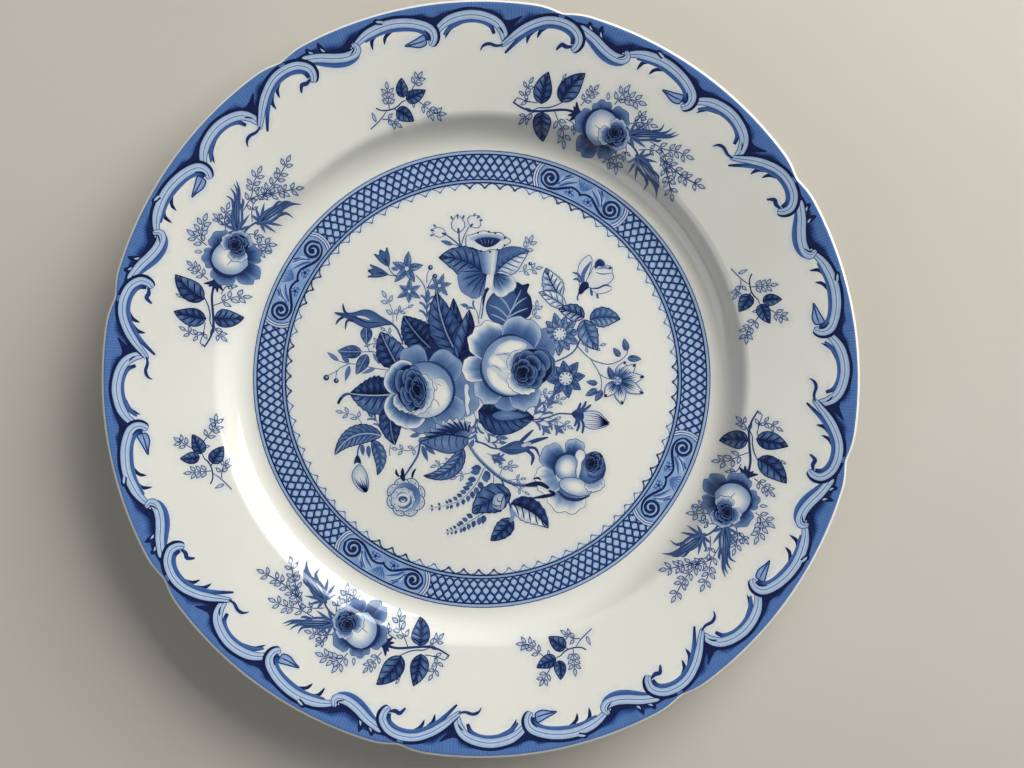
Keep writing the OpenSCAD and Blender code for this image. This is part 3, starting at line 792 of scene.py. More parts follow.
def trumpet_flower(ink):
    """The long closed flower below the big rose."""
    for points, width in (((13-24j, 15.4-21.6j, 18.8-18.4j), 1.3),
                          ((15-24.4j, 19-22.6j, 24.2-21.2j), 1.5), ((16-25j, 19.4-25.2j, 21-28.2j), 1),
                          ((16-25.6j, 18.6-28j, 18-31.4j), 1.3)):
        ink.line(points, width, 0.8, 1, 0.3)
    ink.shape((6.4-25.4j, 8.6-24.2j, 11-23j, 14-22.6j, 16.4-24j, 17.4-25.6j, 14.4-26.8j, 11-27.4j,
               8.6-26.8j), fade(0.6, 0.74), edge=0.82)
    ink.shape((14.4-24j, 17-23j, 18-23.6j, 15.4-24.8j), even(0.2))
    for points in ((8-25.6j, 11-25.8j, 14-25.6j), (8.6-24.8j, 11-24j), (9-26.4j, 12-26.6j)):
        ink.line(points, 0.35, 0.9)


def whorl(ink, centre, rx, ry, turn, rings=5, focus=0j, dark=1.0, light=0.48):
    """The tight heart of a rose: rows of small dark petals round a focus, paler towards their rims."""
    frame = polar(1, turn)
    eye = centre + frame * complex(rx * focus.real, ry * focus.imag)
    ink.shape(oval(centre, rx, ry, 12, frame), even(dark), rings=1)
    for ring in range(rings):
        share = 1 - 0.84 * ring / rings
        count = 6 if ring < 2 else 5 if ring < 4 else 4
        for k in range(count):
            start = 37 * ring + 360 / count * k
            middle = polar(1, start + 200 / count)
            along, across = (focus.conjugate() * middle).real, (focus.conjugate() * middle).imag
            reach = share * (math.sqrt(1 - across ** 2) - along) * (1.04 - 0.08 * (k % 2))
            ink.petal(eye, rx * reach * 0.35, rx * reach, start, start + 400 / count, dark, light,
                      0.05, 1, 1.0, 0.9, ry / rx, turn)
    ink.dot(eye, rx * 0.1, 1.0)


def left_rose(ink):
    """The rose at the left, petals first and its heart last."""
    middle = -20.6-4j
    ink.petal(middle, 6, 20, 316, 388, 0.56, 0.38, 0.05, 4, edge=0.5)
    ink.petal(middle, 6, 15.6, 228, 300, 0.64, 0.4, 0.04, 3, edge=0.7)
    ink.petal(middle, 6, 16.8, 284, 352, 0.64, 0.3, 0.05, 4)
    ink.petal(middle, 6, 16.8, 84, 136, 0.64, 0.36, 0.03, 2)
    ink.petal(middle, 6, 16.6, 14, 84, 0.7, 0.34, 0.03, 2)
    ink.petal(-24-3.6j, 6, 12.2, 92, 196, 0.8, 0.03, 0.03, 6, rise=0.8)
    ink.petal(-24-4.6j, 6, 13.8, 184, 296, 0.74, 0.03, 0.03, 7, rise=0.7)
    ink.line([middle + polar(10.5, a) for a in (-70, -35, 0, 35, 70, 105)], 1.2, 0.84, 0.3, 0.3)
    ink.shape(circle(middle, 10.2, 12),
              lambda s, a: mix(0.1, 0.34, ease(s) ** 2) + 0.14 * math.cos(math.radians(a - 80)) * s,
              middle, 6, 4, 0.75, 0.3)
    ink.shape((-18.4-0.6j, -14.4+0j, -11.8-3.6j, -11.8-7.6j, -14.4-11.6j, -18.6-12.8j, -18.8-8.4j,
               -17.8-5j, -18.6-3j), bloom(-0.04, 0.16, 3), -15.2-6j, 6)
    for points in ((-17.4-1j, -16.2-3.4j, -17.4-4.6j), (-17.6-7.2j, -16-8.4j, -15.4-10j),
                   (-16.4-1.6j, -14.6-2.6j)):
        ink.line(points, 0.3, 0.6)
    ink.petal(-25.6-4.4j, 4, 8.2, -128, 76, 0.5, 0.06, 0.1, 10, edge=0.7, squeeze=1.1, rise=0.2)
    ink.petal(-25.6-3.6j, 4, 8.8, 196, 300, 0.6, 0.08, 0.08, 6, edge=0.8, rise=0.2)
    whorl(ink, -25.7-3.2j, 5.4, 8.4, 10, 6, 0.4-0.15j)


def big_rose(ink):
    """The largest rose, its heart turned to the right."""
    middle = 10.6+4.8j
    ink.shape((-5.8-1.6j, -4.6-2.6j, -4.9-5j, -4.1-7.4j, -4.8-9.6j, -4.2-12j, -5.2-13.4j, -6-11j,
               -6.2-7j, -6.4-3.4j), fade(0.0, 0.12), edge=0.5)
    ink.petal(middle, 8, 16.4, 236, 292, 0.64, 0.4, 0.05, 3)
    ink.petal(middle, 8, 17, -96, -34, 0.68, 0.24, 0.06, 4)
    ink.petal(middle, 8, 16.8, 198, 256, 0.68, 0.2, 0.05, 4)
    ink.petal(middle, 8, 17.6, 161, 209, 0.62, 0.0, 0.05, 3)
    ink.petal(middle, 8, 17.6, 2, 72, 0.72, 0.46, 0.04, 4, edge=0.4)
    ink.petal(middle, 8, 18.8, 98, 168, 0.66, -0.02, 0.05, 5, rise=0.8)
    ink.petal(middle, 8, 18.2, 36, 108, 0.7, 0.2, 0.04, 4, rise=0.7)
    ink.petal(middle, 8, 13.6, -52, 34, 0.98, 0.7, 0.06, 4, edge=0.98)
    ink.line([middle + polar(11.1, a) for a in (60, 85, 110, 140)], 1.1, 0.86, 0.3, 0.3)
    ink.line([middle + polar(11.1, a) for a in (175, 200, 230, 260, 290)], 1.2, 0.84, 0.3, 0.3)
    ink.shape(oval(middle, 10.7, 11, 14), bloom(0.1, 0.42, 2.5), middle - 2, 6, 4, 0.8, 0.35)
    for outline, focus in (
            ((4.6+9.4j, 7+12.8j, 11.6+14.2j, 16.4+12.6j, 14.4+10j, 9.6+8.8j), 11+11.6j),
            ((2.6+7.4j, 5+9j, 8.4+6.4j, 9.6+3.8j, 7.8+3.4j, 5.2+4.6j, 2.8+5.2j), 5.8+6.4j),
            ((2+3.8j, 4.4+4j, 6.4+1.2j, 10-1.6j, 14.4-3j, 13-5.3j, 8.6-5.3j, 4.4-2.8j, 2.2+0.6j),
             6-1.4j)):
        ink.shape(outline, bloom(-0.04, 0.16, 3), focus, 6)
    for points in ((3.6+5.2j, 6+4j, 7.4+2.6j), (8+9j, 10.4+8.6j, 12+8.6j), (5+8.6j, 8+9.2j, 11+9.6j)):
        ink.line(points, 0.3, 0.6)
    ink.petal(16.6+3.6j, 4.5, 9.2, -172, -52, 0.5, 0.0, 0.12, 9, edge=0.7, rise=0.2)
    ink.petal(17+3.6j, 4.5, 8.4, 98, 190, 0.5, 0.1, 0.05, 4, edge=0.5, rise=0.2)
    for reach in (9.6, 8.7):
        ink.petal(17.4+3.8j, 5, reach, -46, 84, 0.97, 0.45, 0.05, 5, edge=None, rise=2.0)
    whorl(ink, 18+4j, 6.9, 7, 0, 6, -0.5-0.3j)


def side_rose(ink):
    """The rose at the lower right, seen from the side, and its sepals."""
    middle = 32-34.4j
    ink.petal(middle, 5, 14.4, -142, -52, 0.56, 0.0, 0.07, 4, rise=0.2, edge=0.7)
    ink.petal(middle, 5, 12.6, 158, 236, 0.4, 0.0, 0.08, 7, rise=0.1, edge=0.65)
    ink.petal(middle, 5, 13, 102, 168, 0.8, 0.26, 0.05, 3, rise=0.4, edge=0.65)
    ink.petal(middle, 5, 12.6, 54, 104, 0.84, 0.2, 0.05, 3, rise=0.6, edge=0.7)
    ink.line([31.2-32.4j + polar(5.2, a) for a in (60, 90, 130, 170, 210)], 1.2, 0.85, 0.3, 0.3)
    ink.line((27.6-40.6j, 30.6-43.2j, 35-43.9j, 39.4-42.4j), 1.2, 0.86, 0.3, 0.3)
    ink.ball(31.2-32.2j, 9.6, 9, 70, -0.02, 0.42, 0.4j)
    ink.ball(34.2-39.2j, 12.4, 6.4, -14, -0.02, 0.28)
    ink.shape((35-30j, 35.2-34j, 36.6-36.8j, 40.6-38.4j, 43.6-37j, 44.8-33j, 44-29.4j, 41.6-26.6j,
               39-27j, 37-28.4j), bloom(0.42, 0.66), 38.4-34j, 5, edge=0.85)
    ink.petal(39.6-33.6j, 4.6, 7.4, -118, -26, 0.3, 0.0, 0.12, 6, edge=0.75, rise=0.1)
    ink.petal(41-31.8j, 3.4, 5.2, -140, -20, 0.75, 0.5, 0.05, 3, edge=0.6, rise=0.2)
    ink.shape((33.9-27.6j, 35.4-25.6j, 37.4-26.4j, 37.6-28.6j, 36.4-30.4j, 36.2-33j, 34.9-36.4j,
               34.2-33.4j, 34.8-30.4j), fade(-0.02, 0.12), edge=0.65)
    whorl(ink, 41-30.2j, 3.1, 3.9, -30, 4, -0.2-0.3j)
    ink.line((44.6-30j, 44.8-33j, 43.2-36j, 40-37.4j), 0.8, 0.84, 0.4, 0.3)
    ink.line((18.6-36.4j, 20.4-36j, 21.6-36.9j), 0.8, 0.95, 0.3, 0.3)
    ink.line((16-38.6j, 21-38j, 24.4-39.8j), 1.6, 0.95, 0.4, 0.6)
    ink.line((18-43.4j, 22-42.8j, 26.4-41.8j, 24.4-40.6j), 1.3, 0.95, 0.2, 0.6)


def cabbage_rose(ink):
    """The small pale flower at the foot: eight lobes round an open cup."""
    middle = -27.6-43j
    heart = middle - 1.1 - 0.8j
    for k in range(8):
        lobe = middle + polar(4.3, 20 + 45 * k)
        ink.shape(circle(lobe, 2.9, 8), fade(0.3, 0.1), edge=0.74, edge_width=0.35)
        for lean in (-32, 28):
            ink.dot(lobe + polar(2, 20 + 45 * k + lean), 0.26, 0.78, 6)
    ink.shape(circle(middle, 5.4, 10),
              lambda s, a: 0.32 + 0.36 * max(math.cos(math.radians(a - 50)), 0) * mix(1, 0.7, s))
    ink.shape([heart + polar(4.4 + 0.2 * (-1) ** k, 20 * k) for k in range(18)], fade(0.05, 0.2),
              edge=0.62, edge_width=0.3)
    for k in range(9):
        ink.dot(heart + polar(3.5, 40 * k + 12), 0.24, 0.7, 6)
    ink.line([heart + polar(3, a) for a in (-130, -90, -50, -10, 30)], 1.0, 0.6, 0.2, 0.2)
    ink.line([heart + polar(2.5, a) for a in (60, 100, 140, 180)], 0.5, 0.5, 0.2, 0.2)
    ink.shape(oval(heart, 1.7, 1.2, 8), fade(0.5, 0.9))
    ink.line([heart + polar(0.8, a) for a in (190, 250, 310, 10)], 0.45, 0.12)
    for points, width in (((-31.2-32.8j, -31-34.4j, -30-35.6j), 0.9),
                          ((-28.8-32.4j, -28.8-34.4j, -28.2-37.2j), 1.3),
                          ((-24-32.6j, -25-34.2j, -25.4-36.2j), 0.9), ((-29.6-35j, -28.2-36.9j), 1.4)):
        ink.line(points, width, 0.96, 0.3, 0.5)


def bouquet():
    """The bouquet in the middle of the well, from the back to the front."""
    ink = Print("bouquet_cobalt")
    fine_sprigs(ink)
    stems(ink)
    fern(ink, (0.9-32.4j, -3-39.4j, -9.4-44.8j, -19.6-47.2j), 12, 3.4)
    fern(ink, (1-48.6j, -4-51.6j, -8.4-54.4j, -13.6-56j), 9, 3)
    small_leaves(ink)
    star(ink, -15.4+34j, 4.6, 6, 10, dark=0.5, pale=0.45)
    big_leaves(ink)
    seed_pod(ink)
    bell(ink, -34+41.2j, -36.8+46.6j, 5)
    bell(ink, -34.4+38.1j, -41+39.4j, 4.4)
    star(ink, -27.3+40.2j, 6.4, 5, 12)
    star(ink, -26.4+31.9j, 4.7, 6, 28, dark=0.56)
    star(ink, 28.4+16.4j, 7.8, 11, 6, 0.46, heart=2.3)
    star(ink, 30.6+0.2j, 7.6, 8, 8, 0.5, 0.66, 0.6, heart=2.4)
    clematis(ink)
    daffodil(ink)
    garden_buds(ink)
    trumpet_flower(ink)
    cabbage_rose(ink)
    side_rose(ink)
    left_rose(ink)
    serrated_leaf(ink)
    big_rose(ink)
    ink.bleed()
    return ink


# ---------------------------------------------------------------- the border of scrolls

CELLS = 8
BORDER_START = 180.0        # direction in which the first cell starts


def ring_points(*pairs):
    """Points given as pairs of an angle in degrees and a radius."""
    return [polar(r, degrees) for degrees, r in pairs]


def along(table, x):
    """The height over x of a line through pairs of (x, height)."""
    for (x0, y0), (x1, y1) in zip(table, table[1:]):
        if x <= x1:
            return mix(y0, y1, ease((x - x0) / (x1 - x0)))
    return table[-1][1]


def scroll(ink, points, width=3.1, outline=1.1, start=0.7, end=0.4):
    """A pale double channel with a dark outer side and a fine line along its middle."""
    path = smooth(points, 7)

    def swell(t):
        caps = math.sqrt(max(1 - (1 - min(t, 1 - t, 0.06) / 0.06) ** 2, 0.02))
        return width * caps * min(mix(start, 1, min(t / 0.2, 1)), mix(end, 1, min((1 - t) / 0.25, 1)))
    ink.settle()
    ink.ribbon(path, lambda t: swell(t) + 2 * outline * min(1, 5 * t + 0.3, 5 - 5 * t), even(0.97),
               (-1, 0))
    ink.settle()
    ink.ribbon(path, swell, lambda t, side: mix(0.12, 0.26, abs(side)), (-1, -0.5, 0, 0.5, 1))
    ink.settle()
    ink.ribbon(path, even(0.3), even(0.6), (-1, 1))
    side = [z + n * swell(i / (len(path) - 1)) / 2 for i, (z, n) in enumerate(zip(path, normals(path)))]
    ink.ribbon(side, even(0.26), even(0.72), (-1, 1))


def shade(ink, points, width, dark_start=True, dark_end=True):
    """The blue shade under a scroll, running out in dark tips."""
    def tone(t, side):
        tip = max(1 - 5 * t if dark_start else 0, 5 * t - 4 if dark_end else 0, 0)
        return mix(0.68 - 0.08 * side, 0.95, tip)
    ink.ribbon(smooth(points, 5), lambda t: width * math.sin(math.pi * mix(0.14, 0.94, t)) ** 0.7, tone)


# How far in the ground reaches over one length of the border: pairs of an angle and a radius.
GROUND = ((-4.2, 122.2), (-3, 125.4), (-1, 127.2), (2, 127.9), (5, 126.6), (7.8, 124.2), (9.5, 127),
          (12, 127.8), (15, 128.4), (18, 127.5), (20.5, 126), (22.8, 123.8), (25, 125), (28, 128),
          (31, 128.6), (33.5, 128.6), (37, 126), (39.5, 122.4), (40.8, 122.2))
HATCHES = 225               # fine strokes in one length of the ground
SHADE_R = 130.2             # the shading beside the scrolls ends within this radius


def border_ground(ink):
    """The hatched blue between the scrolls and the lip, darkest beside the scrolls."""
    angles = [mix(GROUND[0][0], GROUND[-1][0], k / HATCHES) for k in range(HATCHES + 1)]
    hatch = [0.05 * (-1) ** k + 0.03 * math.sin(2.3 * k) for k in range(HATCHES + 1)]
    rows, tones = [], []
    for share in (0, 0.3, 0.55, 0.8):
        depths = [(SHADE_R - along(GROUND, a)) * share for a in angles]
        rows.append([polar(along(GROUND, a) + depth, a) for a, depth in zip(angles, depths)])
        tones.append([mix(0.96, 0.55, ease(min(max(depth - 1.8, 0) / 3.2, 1))) + h
                      for depth, h in zip(depths, hatch)])
    for plain in (SHADE_R, LIP_FACE_X, 131.8, 132.1, 132.4):
        rows.append([polar(SCALLOP_FROM + (plain - SCALLOP_FROM) * drawn_in(a + BORDER_START), a)
                     for a in angles])
        tones.append([0.55 + h for h in hatch])
    ink.patch(rows, tones)


def border_valleys(ink):
    """The dark corners between one scroll and the next."""
    for points in (((5.6, 129.4), (6.8, 127.4), (7.7, 124.8), (8.3, 126.6), (9.2, 129.2), (7.5, 128.2)),
                   ((20, 129.6), (21.4, 127.2), (22.6, 124.6), (24, 124.6), (25.6, 127.4), (23, 126.4)),
                   ((38.4, 128.6), (39.6, 125.2), (40.6, 121.4), (41.2, 124.6), (42.6, 127.8),
                    (40.6, 126.6))):
        ink.shape(ring_points(*points), even(0.96), rings=1, steps=3)


def border_barbs(ink):
    """The dark barbs that hang inwards from the shades."""
    for width, points in ((1.2, ((3, 125.8), (5, 123.9), (6, 120.8))),
                          (1.2, ((14.2, 126.6), (15.6, 124.9), (16.1, 122.6))),
                          (1.3, ((16.2, 127.2), (17.8, 125.2), (18.2, 122))),
                          (1.2, ((33.8, 126.8), (35.2, 124.4), (35.6, 121.8))),
                          (1.3, ((35.6, 125.4), (37, 122.4), (37.2, 119.5)))):
        ink.line(ring_points(*points), width, 0.93, 1, 0.12)


def border_shades(ink):
    """The shades inside the four scrolls of one length."""
    shade(ink, ring_points((-2.2, 121.8), (-1.6, 124.4), (-0.1, 126.1), (1.8, 126.5), (3.8, 125.7),
                           (5.2, 124), (6.2, 122)), 2, True, False)
    shade(ink, ring_points((8.9, 120.8), (9, 123.3), (10.5, 125.5), (13.2, 126.7), (16, 126.8),
                           (19, 125.4)), 2.5, True, False)
    shade(ink, ring_points((20.4, 123.6), (21.1, 121.8), (22.7, 121), (24.6, 121.8), (26.6, 124),
                           (28.4, 126.4)), 2.2, False, False)
    shade(ink, ring_points((29.7, 122.2), (30.1, 125), (31.9, 126.8), (34.3, 126.6), (36.8, 124),
                           (38.8, 120.2), (40.8, 115.6)), 2.2)


def low_scroll(ink):
    """The scroll across the start of a length."""
    scroll(ink, ring_points((-4, 119.6), (-3.7, 122.4), (-2.6, 125.5), (-0.6, 127.4), (1.8, 128.1),
                            (4.4, 127.2), (6.3, 125.2), (7.6, 122.6)), end=0.6)


def high_scroll(ink):
    """The highest scroll, with the leaf curled at its foot and the thorn on its back."""
    ink.shape(ring_points((9.4, 122.8), (10.8, 121.9), (12.2, 121), (12.8, 120.4), (11.9, 119.9),
                          (10.5, 119), (9.3, 119.6), (9.2, 121)), fade(0.2, 0.4), edge=0.85,
              edge_width=0.45)
    ink.line(ring_points((9.4, 121), (10.6, 120.6), (12.4, 120.4)), 0.55, 0.8, 0.4, 1)
    scroll(ink, ring_points((8.6, 119), (7.9, 121.4), (8.3, 124.4), (10.1, 126.6), (12.4, 128),
                            (15, 128.5), (17.8, 127.7), (19.8, 126.2), (21.2, 124.2)))
    ink.line(ring_points((8.5, 120.4), (8.5, 122.4), (9.2, 124.4)), 0.7, 0.95)


def thorns(ink):
    """The pale-cored thorns that stand on the scrolls' backs."""
    for base, tip, far in (((15.4, 129.9), (16.4, 130.6), (16.7, 131.2)),
                           ((25.3, 125.8), (25.9, 129), (25.9, 131.2)),
                           ((27, 127.4), (27.8, 129.8), (27.9, 131.2))):
        ink.line(ring_points(base, tip, far), 1.9, 0.96, 1, 0.05)
        middle = ((base[0] + tip[0]) / 2, (base[1] + tip[1]) / 2)
        ink.line(ring_points(base, middle, tip), 0.75, 0.2, 1, 0.1)


def hanging_scroll(ink):
    """The scroll that hangs between the high one and the long one."""
    scroll(ink, ring_points((21, 126.4), (20.6, 124.4), (21.2, 123), (22.8, 122.9), (24.6, 124.1),
                            (26.8, 126.4), (29.4, 128.4)), outline=0.6, start=0.3, end=0.8)
    ink.line(ring_points((20.9, 125.2), (21.2, 124), (22, 123)), 0.55, 0.95)
    ink.line(ring_points((29.4, 121.8), (30.5, 121), (31.4, 121.3), (32.1, 119.2)), 1.5, 0.85, 0.4, 0.4)


def long_scroll(ink):
    """The longest scroll, with a curl that runs on into the next length."""
    scroll(ink, ring_points((29.5, 120.2), (28.9, 122.2), (29, 125), (30.4, 127.6), (32.6, 128.5),
                            (34.8, 127.9), (37, 125.6), (38.8, 122.8), (40.2, 120.2), (41.6, 117.8)),
           2.7, end=0.5)
    ink.line(ring_points((41.2, 118.4), (42.3, 117.9), (43.6, 118.5), (44.6, 117.8), (45.1, 116.2)),
             1.1, 0.85, 0.5, 0.2)
    ink.line(ring_points((41.3, 122), (41.5, 123), (42.2, 124.2)), 0.6, 0.95)


def border():
    """Eight equal lengths of the border of scrolls, laid down one feature at a time."""
    ink = Print("border_cobalt")
    for feature in (border_ground, border_valleys, border_barbs, border_shades, low_scroll, high_scroll,
                    thorns, hanging_scroll, long_scroll):
        ink.settle()
        for cell in range(CELLS):
            turn = polar(1, BORDER_START + 360 / CELLS * cell)
            ink.place = lambda z: z * turn
            feature(ink)
    ink.bleed(outer=124)
    return ink


# ---------------------------------------------------------------- the verge round the well

BAND_IN_R = 72.6
BAND_OUT_R = 81.9
VERGE_IN_R = 71.5
VERGE_OUT_R = 83.1
LATTICE_COUNT = 160
LATTICE_PITCH = 360 / LATTICE_COUNT
LATTICE_ROWS = (79.5, 77.15, 74.8)
TOOTH_COUNT = 80
TOOTH_AT = 3.6
PANEL_COUNT = 4
PANEL_PITCH = 360 / PANEL_COUNT
PANEL_AT = 61.9             # direction of the middle of one panel
PANEL_HALF = 13.0           # half the angle that a panel takes up


def ring(ink, inner, outer, tone, step=0.75):
    """A whole ring."""
    angles = [step * k for k in range(round(360 / step) + 1)]
    ink.patch([[polar(r, a) for a in angles] for r in (inner, outer)], [[tone] * len(angles)] * 2)


def off_panel(degrees):
    """Angle from the middle of the nearest panel."""
    return (degrees - PANEL_AT + PANEL_PITCH / 2) % PANEL_PITCH - PANEL_PITCH / 2


def pale_lozenge(ink, degrees, radius, width, height, flat=0.0):
    """A rounded lozenge. With flat at 1 or -1 it is the half that stands on that side's line."""
    columns = range(7)
    reach = [math.sin(math.pi * k / 6) ** 0.75 for k in columns]
    rows = []
    for side in (-1, 1):
        share = 0 if side == flat else 1
        rows.append([polar(radius + side * height / 2 * share * h,
                           degrees + math.degrees(width * (k / 6 - 0.5) / radius))
                     for k, h in zip(columns, reach)])
    ink.patch(rows, [[0.2] * 7, [0.24] * 7])


def lattice(ink):
    """Crossed dark lines with a pale lozenge in each opening."""
    half = LATTICE_PITCH / 2
    for lean in (-1, 1):
        ink.settle()
        for k in range(LATTICE_COUNT):
            def at(r):
                return polar(r, LATTICE_PITCH * (k + 0.5) + lean * (LATTICE_ROWS[0] - r) / 2.35 * half)
            if abs(off_panel(LATTICE_PITCH * (k + 0.5))) > PANEL_HALF - 2.5:
                ink.ribbon([at(r) for r in (BAND_OUT_R, 80, 77.5, 75, BAND_IN_R)], even(0.6),
                           even(0.88), (-1, 1))
    ink.settle()
    for k in range(LATTICE_COUNT):
        for row, radius in enumerate(LATTICE_ROWS):
            degrees = LATTICE_PITCH * (k + 0.5 * (row % 2))
            if abs(off_panel(degrees)) > PANEL_HALF:
                pale_lozenge(ink, degrees, radius, 2.3, 2.05)
        degrees = LATTICE_PITCH * (k + 0.5)
        if abs(off_panel(degrees)) > PANEL_HALF:
            pale_lozenge(ink, degrees, 81.5, 1.9, 1.6, 1)
            pale_lozenge(ink, degrees, 72.95, 1.9, 1.2, -1)


def panel(ink):
    """A panel with a pair of facing scrolls, symmetric about its middle."""
    angles = [k * 0.65 for k in range(-20, 21)]
    ink.settle()
    ink.patch([[polar(r, a) for a in angles] for r in (72.8, 77, 81.7)],
              [[0.3 + 0.05 * math.cos(a) for a in angles] for _ in range(3)])
    for side in (-1, 1):
        def draw(points, width, tone, start=0.3, end=0.3):
            ink.line([polar(r, side * a) for a, r in points], width, tone, start, end, 5)
        edge = ((12.3, 81.7), (13.1, 79.4), (13.3, 77.2), (13.1, 75), (12.3, 72.8))
        for width, tone in ((2.1, 0.85), (1.4, 0.12), (0.35, 0.75)):
            draw(edge, width, tone, 1, 1)
        draw(((11.9, 77.6), (11.3, 75.4), (9.7, 74), (7.8, 73.9), (6, 74.8), (4.4, 76), (2.9, 77),
              (1.4, 76.9), (0, 76.1)), 1, 0.94, 0.5, 0.7)
        spiral = [polar(mix(3.5, 0.5, k / 13), 48 * k) for k in range(14)]
        draw([(9.2 + math.degrees(z.real / 77.3), 77.3 + z.imag) for z in spiral], 1.15, 0.9, 0.8, 1)
        ink.dot(polar(77.3, side * 9.2), 0.7, 0.95)
        for points in (((6.8, 76.2), (5.6, 78.4), (3.5, 81)), ((6.2, 75.6), (4.6, 77.6), (2.1, 79.6)),
                       ((5.6, 79.6), (4.6, 80.8), (4.4, 81.4))):
            draw(points, 0.75, 0.7, 0.6, 0.2)
        for points in (((6.2, 76.8), (4.9, 78.9), (3.2, 80.6)), ((6, 80), (6.3, 78.4), (6.5, 77.2))):
            draw(points, 0.4, 0.1)
        flower = polar(75.1, side * 2.9)
        for a, r in ((4.7, 74.4), (1.1, 74.4), (4.4, 73.6), (1.5, 73.6)):
            ink.small_leaf(flower, polar(r, side * a), 0.9, 0.55)
        for k in range(5):
            ink.dot(flower + polar(0.95, 72 * k), 0.78, 0.62, 8)
            ink.dot(flower + polar(1.05, 72 * k), 0.4, 0.3, 6)
        ink.dot(flower, 0.5, 0.9, 8)
        for a in (0.5, 1.3, 2.1):
            draw(((0.1, 77.6), (a * 0.6, 79.2), (a, 81.2)), 0.6, 0.55, 0.6, 0.2)
    ink.dot(polar(76, 0), 0.6, 0.97)


def tooth(ink, degrees):
    """A small pendant tooth with concave sides."""
    def at(offset, radius):
        return polar(radius, degrees + offset)
    left = [at(-2.1, 71.3), at(-1.2, 70.9), at(-0.5, 70.2), at(0, 69.3)]
    right = [at(2.1, 71.3), at(1.2, 70.9), at(0.5, 70.2), at(0, 69.3)]
    ink.patch([left, right], [[0.34, 0.1, 0.06, 0.5]] * 2)
    for side in (left, right):
        ink.ribbon(smooth(side, 2), lambda t: mix(0.42, 0.65, t), even(0.86), (-1, 1))


def verge():
    """The lattice band round the well, with four panels and a row of teeth inside it."""
    ink = Print("verge_cobalt")
    ring(ink, BAND_IN_R, BAND_OUT_R, 0.56)
    ring(ink, VERGE_IN_R, BAND_IN_R, 0.3)
    ring(ink, BAND_OUT_R, VERGE_OUT_R, 0.24)
    lattice(ink)
    for k in range(TOOTH_COUNT):
        tooth(ink, TOOTH_AT + 360 / TOOTH_COUNT * k)
    for k in range(PANEL_COUNT):
        turn = polar(1, PANEL_AT + PANEL_PITCH * k)
        ink.place = lambda z: z * turn
        panel(ink)
    ink.place = lambda z: z
    ink.settle()
    for radius, width, tone in ((VERGE_OUT_R, 0.34, 0.8), (81.8, 0.55, 0.93), (72.7, 0.5, 0.93),
                                (VERGE_IN_R, 0.5, 0.95)):
        ring(ink, radius - width / 2, radius + width / 2, tone)
    ink.bleed(outer=84)
    return ink


# ---------------------------------------------------------------- the sprays and sprigs on the rim

SPRAY_COUNT = 4             # as many sprigs lie between the sprays
SPRAY_AT = 62.5
SPRAY_R = 106.0
SPRIG_AT = 16.0
SPRIG_R = 104.0


def rim_place(number, first, radius):
    """Lays one of a set on the rim, with its x axis along the rim and its y axis outwards."""
    turn = polar(1, first + 360 / SPRAY_COUNT * (number - 1))
    return lambda z: complex(radius + z.imag, z.real) * turn


def spray_twigs(ink):
    """The fine hollow twigs round a spray."""
    for stem, leaves, size in (
            ((2.9+2.3j, 2.5+4.6j, 1.9+7.4j), 2, 3.4), ((2.2+4.4j, -0.5+6.2j, -4+6.8j), 3, 3.4),
            ((13.5-3.4j, 12.6+0.4j, 11.8+3.2j), 3, 2.8), ((23-0.6j, 23.4+1j, 23.4+1.6j), 0, 2.4),
            ((27.6-9.4j, 31.6-10.4j, 33.2-8j, 33.2-5j), 3, 2.8),
            ((30.6-10.6j, 34.4-11j, 35-11.6j), 0, 1.6), ((26.4-12j, 28.4-13.8j, 29.4-16j), 2, 2.8),
            ((21-9j, 18-11.6j, 15-13.6j, 13.6-15.6j), 3, 3.2), ((16-9.6j, 13-9.8j, 12-11j), 1, 2.4),
            ((-4.6-11j, -6.2-13j, -7.4-15j), 2, 3.2), ((-3.6-12j, -3.8-13.6j, -4.4-15j), 1, 2.6),
            ((-5-1j, -8+1j, -11.6+1.8j), 3, 3), ((-6+0.4j, -7+2j, -7.4+3j), 1, 2.6),
            ((-14-3.2j, -20-3.4j, -24-2.2j, -28-2j), 4, 3.2),
            ((-19-3.6j, -21.6-5.6j, -22.6-7j), 2, 2.8),
            ((-20-6.4j, -25-7.6j, -30-8.8j, -36.4-9j), 6, 3.1),
            ((-22-7.4j, -24.6-10j, -27-12.6j, -29.6-15.6j), 4, 3),
            ((-7-7.6j, -8.2-9.6j, -8.6-11j), 1, 2.4), ((-9-4.6j, -8-2j, -8.4-0.6j), 2, 2.2),
            ((-12-7.6j, -15-6j, -17.6-5.2j), 1, 2.6)):
        ink.twig(stem, leaves, size * 1.06, 0.72, hollow=True, width=0.34)
    ink.small_leaf(5.6+2.6j, 7+5.2j, 1.5, 0.55, True)


